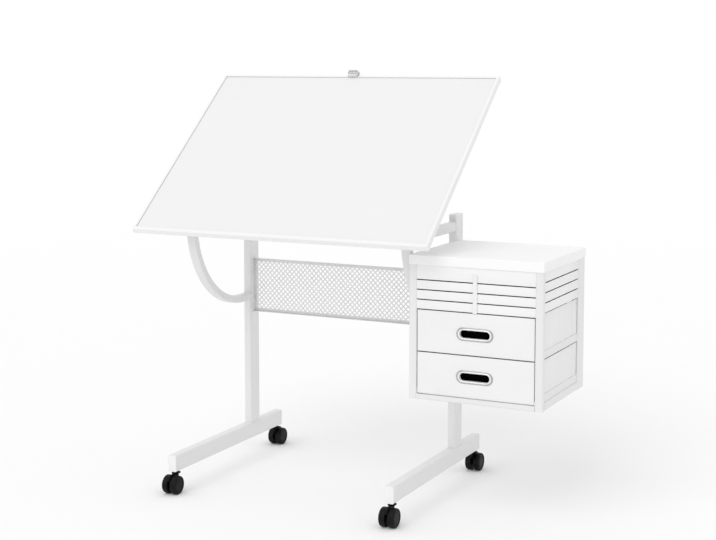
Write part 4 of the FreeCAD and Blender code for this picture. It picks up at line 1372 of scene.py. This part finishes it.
@dataclass
class CoveredDrawer(Assembly):
    """A drawer of cloth-covered board: front, bin, ring pull and seams.

    Args:
        level: The drawer's part in node names.
        pull_length: Length of the pull's hole.
        pull_height: Height of the pull's hole.
        edge_round: Radius of the front's padded edge.
        lip: Depth and width of the front's edge at the hole, the width as a share of the way to its rim.
        rows: Places of the front's rows of faces between the hole and its rim.
        crown: How far the front swells.
        ripple: How far the cloth ripples.
        ripples: Ripples per metre.
        around: Points round the front and the ring.
        bezel: Section of the ring's inner part, as shares of its width and its height.
        rim: Section of its outer part, which wears the darker bright metal as a painted shade line round the
            ring.
        wall: Thickness of the bin's walls.
        hem: Height of the bin's top hem.
        hem_proud: How far the hem stands out.
        hem_seam: Height of its seam over its lower edge.
        bow: How far the bin's long walls swell.
        corner: Radius of the bin's rear corners.
        wall_steps: Faces along a long wall.
        corner_steps: Faces round a corner.
        seam_inset: Distance of the front's seams from its ends.
        seam_lift: How far they stand off its face.
        seam_end: Distance of a seam's ends from the edges.
        stitching: The drawer's seams.
    """

    level: str
    pull_length: float = 0.080
    pull_height: float = 0.020
    edge_round: float = 0.0018
    lip: tuple[float, float] = (0.0006, 0.012)
    rows: tuple[float, ...] = (0.15, 0.3, 0.45, 0.6, 0.75, 0.88)
    crown: float = 0.0006
    ripple: float = 0.00025
    ripples: float = 28.0
    around: int = 144
    bezel: Pairs = ((0.0, 0.0), (0.0, 0.55), (0.06, 0.8), (0.18, 0.97), (0.34, 1.0), (0.48, 0.92),
                    (0.57, 0.7), (0.6, 0.4), (0.6, 0.0))
    rim: Pairs = ((0.58, 0.0), (0.58, 0.34), (0.66, 0.54), (0.78, 0.6), (0.9, 0.54), (0.98, 0.36),
                  (1.0, 0.0))
    wall: float = 0.003
    hem: float = 0.009
    hem_proud: float = 0.0006
    hem_seam: float = 0.002
    bow: float = 0.0012
    corner: float = 0.006
    wall_steps: int = 12
    corner_steps: int = 6
    seam_inset: float = 0.009
    seam_lift: float = 0.0001
    seam_end: float = 0.004
    stitching: Stitching = Stitching()

    def build(self) -> None:
        """Makes the drawer's pieces."""
        self._front()
        node = f"{self.body}_ring"
        self.shop.dress(self._ring(node, self.bezel), f"{node}_bezel", self.body, Slot.METAL, node)
        # The outer part wears the darker bright metal: a painted contact shadow round the ring.
        self.shop.dress(self._ring(node, self.rim), f"{node}_rim", self.body, Slot.METAL)
        self._bin()
        self._seams()

    @property
    def body(self) -> str:
        """The drawer's CAD body."""
        return f"{self.level}_drawer"

    def _front(self) -> None:
        """Wraps a padded board round the pull's hole."""
        node = f"{self.body}_front"
        low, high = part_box(node)
        width, height = high.x - low.x, high.z - low.z
        middle = Vector(((low.x + high.x) / 2, 0.0, (low.z + high.z) / 2))
        corner = atan2(height, width)
        angles = sorted({2 * pi * step / self.around for step in range(self.around)}
                        | {corner, pi - corner, pi + corner, 2 * pi - corner})
        inset = self.edge_round / (height / 2)
        lip_depth, lip_width = self.lip
        across = [(0.0, high.y), (0.0, low.y + lip_depth), (lip_width, low.y)]
        across += [(share, low.y) for share in self.rows]
        across += [(1 - inset, low.y), (1 - 0.3 * inset, low.y + 0.3 * self.edge_round),
                   (1.0, low.y + self.edge_round), (1.0, high.y - self.edge_round), (1 - inset, high.y)]

        def point(angle: float, share: float, depth: float) -> Vector:
            """Places a point of the padded front.

            Args:
                angle: The way from the hole's middle.
                share: Its place between the hole and the rim.
                depth: Its depth before the padding swells.

            Returns:
                The point.
            """
            hole = obround_radius(angle, self.pull_length, self.pull_height)
            reach = hole + (rectangle_radius(angle, width, height) - hole) * share
            swell = self.crown * sin(pi * share) if depth < low.y + self.edge_round / 2 else 0.0
            place = middle + Vector((reach * cos(angle), depth, reach * sin(angle)))
            ripple = self.ripple * noise.noise(place * self.ripples) * sin(pi * share)
            return place - Vector((0.0, (swell + ripple) if share < 1.0 - inset / 2 else 0.0, 0.0))

        shape = Shape()
        shape.loft([[point(angle, share, depth) for share, depth in across] for angle in angles], looped=True)
        self.shop.dress(shape, f"{node}_covered", self.body, Slot.CLOTH, node)

    def _ring(self, node: str, section: Pairs) -> Shape:
        """Sweeps a part of the pull's ring round the hole.

        Args:
            node: The ring's CAD node.
            section: The part's section, as shares of the ring's width and height.

        Returns:
            The part's form.
        """
        low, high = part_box(node)
        middle = Vector(((low.x + high.x) / 2, high.y, (low.z + high.z) / 2))
        proud = high.y - low.y
        rings = []
        for step in range(self.around):
            angle = 2 * pi * step / self.around
            hole = obround_radius(angle, self.pull_length, self.pull_height)
            width = obround_radius(angle, high.x - low.x, high.z - low.z) - hole
            way = Vector((cos(angle), 0.0, sin(angle)))
            rings.append([middle + way * (hole + width * share) - Vector((0.0, proud * rise, 0.0))
                          for share, rise in section])
        shape = Shape()
        shape.loft(rings, looped=True)
        return shape

    def _bin(self) -> None:
        """Sweeps the hemmed wall round the bin's three closed sides and lays its floor."""
        node = f"{self.body}_bin"
        low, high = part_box(node)
        height, half = high.z - low.z, self.wall / 2
        hem_start, thick = 1 - self.hem / height, half + self.hem_proud
        below, above, brim = hem_start - 0.01, hem_start + 0.02, 0.985
        profile = [(-half, 0.0), (-half, 0.25), (-half, 0.5), (-half, 0.75), (-half, below), (-thick, above),
                   (-thick, brim), (-half * 0.5, 1.0), (half * 0.5, 1.0), (thick, brim), (thick, above),
                   (half, below), (half, 0.5), (half, 0.0)]
        left, right = low.x + half + self.bow, high.x - half - self.bow
        back = high.y - half - self.hem_proud
        bend = back - self.corner
        run = [low.y + (bend - low.y) * step / self.wall_steps for step in range(self.wall_steps + 1)]
        path = [(left, y, -1.0, 0.0) for y in run]
        for turn, centre_x in enumerate((left + self.corner, right - self.corner)):
            for step in range(self.corner_steps + 1):
                angle = pi - pi / 2 * (turn + step / self.corner_steps)
                way_x, way_y = cos(angle), sin(angle)
                path.append((centre_x + self.corner * way_x, bend + self.corner * way_y, way_x, way_y))
        path += [(right, y, 1.0, 0.0) for y in reversed(run)]
        rings = []
        for x, y, way_x, way_y in path:
            share = min(max((y - low.y) / (back - low.y), 0.0), 1.0)
            swell = self.bow * sin(pi * share) * abs(way_x)
            rings.append([Vector((x, y, low.z + height * rise))
                          + Vector((way_x, way_y, 0.0)) * (-across + swell * sin(pi * rise))
                          for across, rise in profile])
        shape = Shape()
        shape.loft(rings)
        shape.box((left, low.y, low.z + half / 2), (right, back, low.z + self.wall), half / 4)
        self.shop.dress(shape, f"{node}_covered", self.body, Slot.CLOTH, node)

    def _seams(self) -> None:
        """Stitches the front's ends and the bin's hem."""
        low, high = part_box(f"{self.body}_front")
        face = low.y - self.seam_lift
        paths = [[Vector((x, face, low.z + self.seam_end)), Vector((x, face, high.z - self.seam_end))]
                 for x in (low.x + self.seam_inset, high.x - self.seam_inset)]
        low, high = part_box(f"{self.body}_bin")
        height, rear = high.z - self.hem + self.hem_seam, high.y - 2 * self.corner
        paths += [[Vector((x, low.y + self.seam_end, height)), Vector((x, rear, height))]
                  for x in (low.x + self.hem_proud, high.x - self.hem_proud)]
        self.stitching.sew(self.shop, f"{self.body}_stitches", self.body, paths)


@dataclass
class TwinCaster(Assembly):
    """A twin-wheel caster: moulded hood with its stem, and two wheels on an axle.

    Args:
        end: The foot's end in node names.
        side: The foot's side.
        web: Thickness of the hood between the wheels.
        hood_radius: Radius of the hood over the wheels.
        hood_round: Radius of the hood's edges.
        skirt: Height of the hood's lower edge over the axle.
        trail: Distance of the stem from the axle.
        boss_half: Half the boss's side.
        boss_low: Height of the boss over the axle.
        boss_high: Height of the boss's top over the axle.
        collar_radius: Radius of the stem's collar.
        collar_height: Height of the stem's collar.
        stem_radius: Radius of the stem.
        axle_radius: Radius of the axle.
        hub_radius: Radius of the hood round the axle.
        collar_round: Bevel of the stem's collar.
        play: Gap between a wheel and the hood.
        inner_rim: Depths from a wheel's inner face and shares of its radius.
        outer_rim: Depths from a wheel's outer face and shares of its radius.
        steps: Points round a wheel.
        axle_steps: Points round the axle.
    """

    end: str
    side: Side
    web: float = 0.007
    hood_radius: float = 0.0285
    hood_round: float = 0.0012
    skirt: float = 0.014
    trail: float = 0.016
    boss_half: float = 0.009
    boss_low: float = 0.0265
    boss_high: float = 0.0315
    collar_radius: float = 0.0075
    collar_height: float = 0.0022
    stem_radius: float = 0.0055
    axle_radius: float = 0.004
    hub_radius: float = 0.012
    collar_round: float = 0.0004
    play: float = 0.0005
    inner_rim: Pairs = ((0.0, 0.93), (0.0012, 0.985), (0.003, 1.0))
    outer_rim: Pairs = (
        (0.0045, 1.0), (0.0024, 0.985), (0.001, 0.95), (0.0003, 0.90), (0.0, 0.85), (0.0, 0.74),
        (0.0012, 0.71), (0.0012, 0.66), (0.0002, 0.62), (0.0002, 0.05))
    steps: int = 72
    axle_steps: int = 24

    @property
    def name(self) -> str:
        """The caster's CAD body."""
        return f"{self.end}_{self.side.label}_caster"

    def build(self) -> None:
        """Makes the wheels and the hood."""
        self._wheels()
        self._hood()

    def _hood(self) -> None:
        """Moulds the cover between the wheels, its hub, neck and boss, and turns the stem."""
        node = f"{self.name}_hood"
        low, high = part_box(f"{self.name}_wheels")
        axle = (low + high) / 2
        way = 1.0 if self.end == "front" else -1.0
        half, bevel = self.web / 2, self.hood_round
        start = asin(self.skirt / self.hood_radius)
        angles = [start + (pi - 2 * start) * step / self.steps for step in range(self.steps + 1)]
        rings = []
        for across, drawn_in in ((-half, bevel), (bevel - half, 0.0), (half - bevel, 0.0), (half, bevel)):
            radius = self.hood_radius - drawn_in
            rings.append([
                axle + Vector((across, radius * cos(angle), radius * sin(angle) + drawn_in / 2))
                for angle in angles])
        shape = Shape()
        shape.loft(rings)
        rim, side = self.hub_radius - bevel, half + bevel / 8
        shape.lathe([(-side, rim), (bevel - half, self.hub_radius), (half - bevel, self.hub_radius),
                     (side, rim)], axle, ALONG_X, self.steps)
        web = half - bevel / 4
        blocks = ((web, 0.0, self.hub_radius, 0.0, self.skirt + bevel),
                  (web, self.trail, self.boss_half, self.skirt, self.boss_low + bevel),
                  (self.boss_half, self.trail, self.boss_half, self.boss_low, self.boss_high))
        for reach, shift, depth, bottom, top in blocks:
            middle = axle + Vector((0.0, way * shift, 0.0))
            shape.box(middle + Vector((-reach, -depth, bottom)), middle + Vector((reach, depth, top)), bevel)
        stem = axle + Vector((0.0, way * self.trail, self.boss_high - bevel))
        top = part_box(node)[1].z - stem.z
        collar = self.collar_height + bevel
        shape.lathe([(0.0, self.collar_radius), (collar - self.collar_round, self.collar_radius),
                     (collar, self.collar_radius - self.collar_round), (collar, self.stem_radius),
                     (top, self.stem_radius)], stem, (0.0, 0.0, 1.0), self.steps)
        self.shop.dress(shape, f"{node}_moulded", self.name, Slot.PLASTIC, node)

    def _wheels(self) -> None:
        """Turns both wheels, each with a rounded tread and a stepped disc."""
        node = f"{self.name}_wheels"
        low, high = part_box(node)
        centre = (low + high) / 2
        radius, outside, inside = (high.z - low.z) / 2, (high.x - low.x) / 2, self.web / 2 + self.play
        profile = [(inside, self.axle_radius)]
        profile += [(inside + deep, radius * share) for deep, share in self.inner_rim]
        profile += [(outside - deep, radius * share) for deep, share in self.outer_rim]
        shape = Shape()
        for way in (1.0, -1.0):
            shape.lathe(profile, centre, (way, 0.0, 0.0), self.steps)
        shape.lathe([(-inside, self.axle_radius), (inside, self.axle_radius)], centre, ALONG_X,
                    self.axle_steps)
        self.shop.dress(shape, f"{node}_turned", node, Slot.TREAD, node)


@dataclass
class Studio:
    """Floor, light and the photograph's camera.

    Args:
        place: The camera's place.
        yaw: Its turn to the left of +Y, in degrees.
        pitch: Its tilt down, in degrees.
        focal_pixels: Its focal length in pixels of the photograph.
        frame_width: The photograph's width in pixels.
        sensor: Sensor width in millimetres.
        shift: The frame's shift below the optical axis, as a share of its width.
        sight: How far the camera sees.
        ambient: Light from all around.
        sun: Irradiance of the soft key light.
        sun_from: The way to the key light.
        sun_angle: Its apparent size, in degrees.
        floor_tone: The floor's colour.
        floor_drift: How far its colour moves.
        floor_patches: Patches of its colour per metre.
        floor_rough: Its roughness.
        floor_size: The floor's side.
        fade_start: Distance from the object at which the floor starts to fade into the backdrop.
        fade_end: Distance at which it is gone.
    """

    place: Triple = (1.7118, -3.5149, 1.1675)
    yaw: float = 26.303
    pitch: float = 5.524
    focal_pixels: float = 1461.1
    frame_width: float = 716.0
    sensor: float = 36.0
    shift: float = 0.098
    sight: float = 100.0
    ambient: float = 0.872
    sun: float = 0.66
    sun_from: Triple = (-0.10, -0.68, 0.72)
    sun_angle: float = 40.0
    floor_tone: float = 0.965
    floor_drift: float = 0.004
    floor_patches: float = 0.8
    floor_rough: float = 0.9
    floor_size: float = 40.0
    fade_start: float = 2.5
    fade_end: float = 9.0

    def build(self) -> None:
        """Sets the whole studio up."""
        bpy.context.scene.view_settings.view_transform = "Standard"
        self._camera()
        self._world()
        self._sun()
        self._floor()

    def _camera(self) -> None:
        """Adds the photograph's camera."""
        camera = bpy.data.cameras.new("photo_camera")
        camera.sensor_width = self.sensor
        camera.lens = self.focal_pixels / self.frame_width * self.sensor
        camera.shift_y = -self.shift
        camera.clip_end = self.sight
        item = place_object("photo_camera", camera)
        yaw, pitch = radians(self.yaw), radians(self.pitch)
        ahead = Vector((-sin(yaw) * cos(pitch), cos(yaw) * cos(pitch), -sin(pitch)))
        item.location = self.place
        item.rotation_euler = ahead.to_track_quat("-Z", "Y").to_euler()
        bpy.context.scene.camera = item

    def _world(self) -> None:
        """Lights the scene from all around, with a white backdrop."""
        world = bpy.data.worlds.new("studio")
        world.use_nodes = True
        bpy.context.scene.world = world
        graph = Graph(world.node_tree)
        path = graph.add("ShaderNodeLightPath")
        seen = path.outputs["Is Camera Ray"]
        for name in ("Is Glossy Ray", "Is Transmission Ray"):
            seen = graph.math("MAXIMUM", seen, path.outputs[name])
        backdrop = graph.tree.nodes["Background"]
        graph.feed(backdrop.inputs["Color"], (1.0, 1.0, 1.0, 1.0))
        graph.feed(backdrop.inputs["Strength"],
                   graph.math("MULTIPLY_ADD", seen, 1.0 - self.ambient, self.ambient))

    def _sun(self) -> None:
        """Adds the soft key light, from above in front."""
        light = bpy.data.lights.new("key", "SUN")
        light.energy = self.sun
        light.angle = radians(self.sun_angle)
        item = place_object("key", light)
        item.rotation_euler = Vector(self.sun_from).to_track_quat("Z", "Y").to_euler()

    def _floor(self) -> None:
        """Lays the pale floor, which fades into the backdrop far away."""
        material = bpy.data.materials.new("pale_floor")
        material.use_nodes = True
        graph = Graph(material.node_tree)
        shader = graph.tree.nodes["Principled BSDF"]
        place = graph.add("ShaderNodeTexCoord").outputs["Object"]
        tone = graph.add("ShaderNodeMapRange", {
            "Value": graph.noise(place, self.floor_patches, 2.0),
            "To Min": self.floor_tone - self.floor_drift, "To Max": self.floor_tone + self.floor_drift})
        away = graph.add("ShaderNodeVectorMath", {0: place}, operation="LENGTH")
        fade = graph.add("ShaderNodeMapRange", {
            "Value": away.outputs["Value"], "From Min": self.fade_start, "From Max": self.fade_end,
            "To Min": 1.0, "To Max": 0.0}, interpolation_type="SMOOTHSTEP")
        for socket, value in (("Base Color", tone.outputs[0]), ("Alpha", fade.outputs[0]),
                              ("Roughness", self.floor_rough), ("Specular IOR Level", 0.0)):
            graph.feed(shader.inputs[socket], value)
        half = self.floor_size / 2
        mesh = bpy.data.meshes.new("floor")
        mesh.from_pydata([(-half, -half, 0.0), (half, -half, 0.0), (half, half, 0.0), (-half, half, 0.0)], [],
                         [(0, 1, 2, 3)])
        mesh.materials.append(material)
        place_object("floor", mesh)


def main() -> None:
    """Builds every sub-assembly in order and reports its pieces."""
    logging.basicConfig(level=logging.INFO, format="%(name)s: %(message)s")
    shop = Workshop(frame["record"])
    shop.coat_nodes()
    assemblies = [Stand(shop), PerforatedPanel(shop), TiltGear(shop), BoardFittings(shop), Cabinet(shop)]
    assemblies += [CoveredDrawer(shop, level) for level in ("lower", "upper")]
    assemblies += [TwinCaster(shop, end, side) for end in ("front", "rear") for side in Side]
    for assembly in assemblies:
        assembly.build()
    Studio().build()


if __name__ == "__main__":
    main()
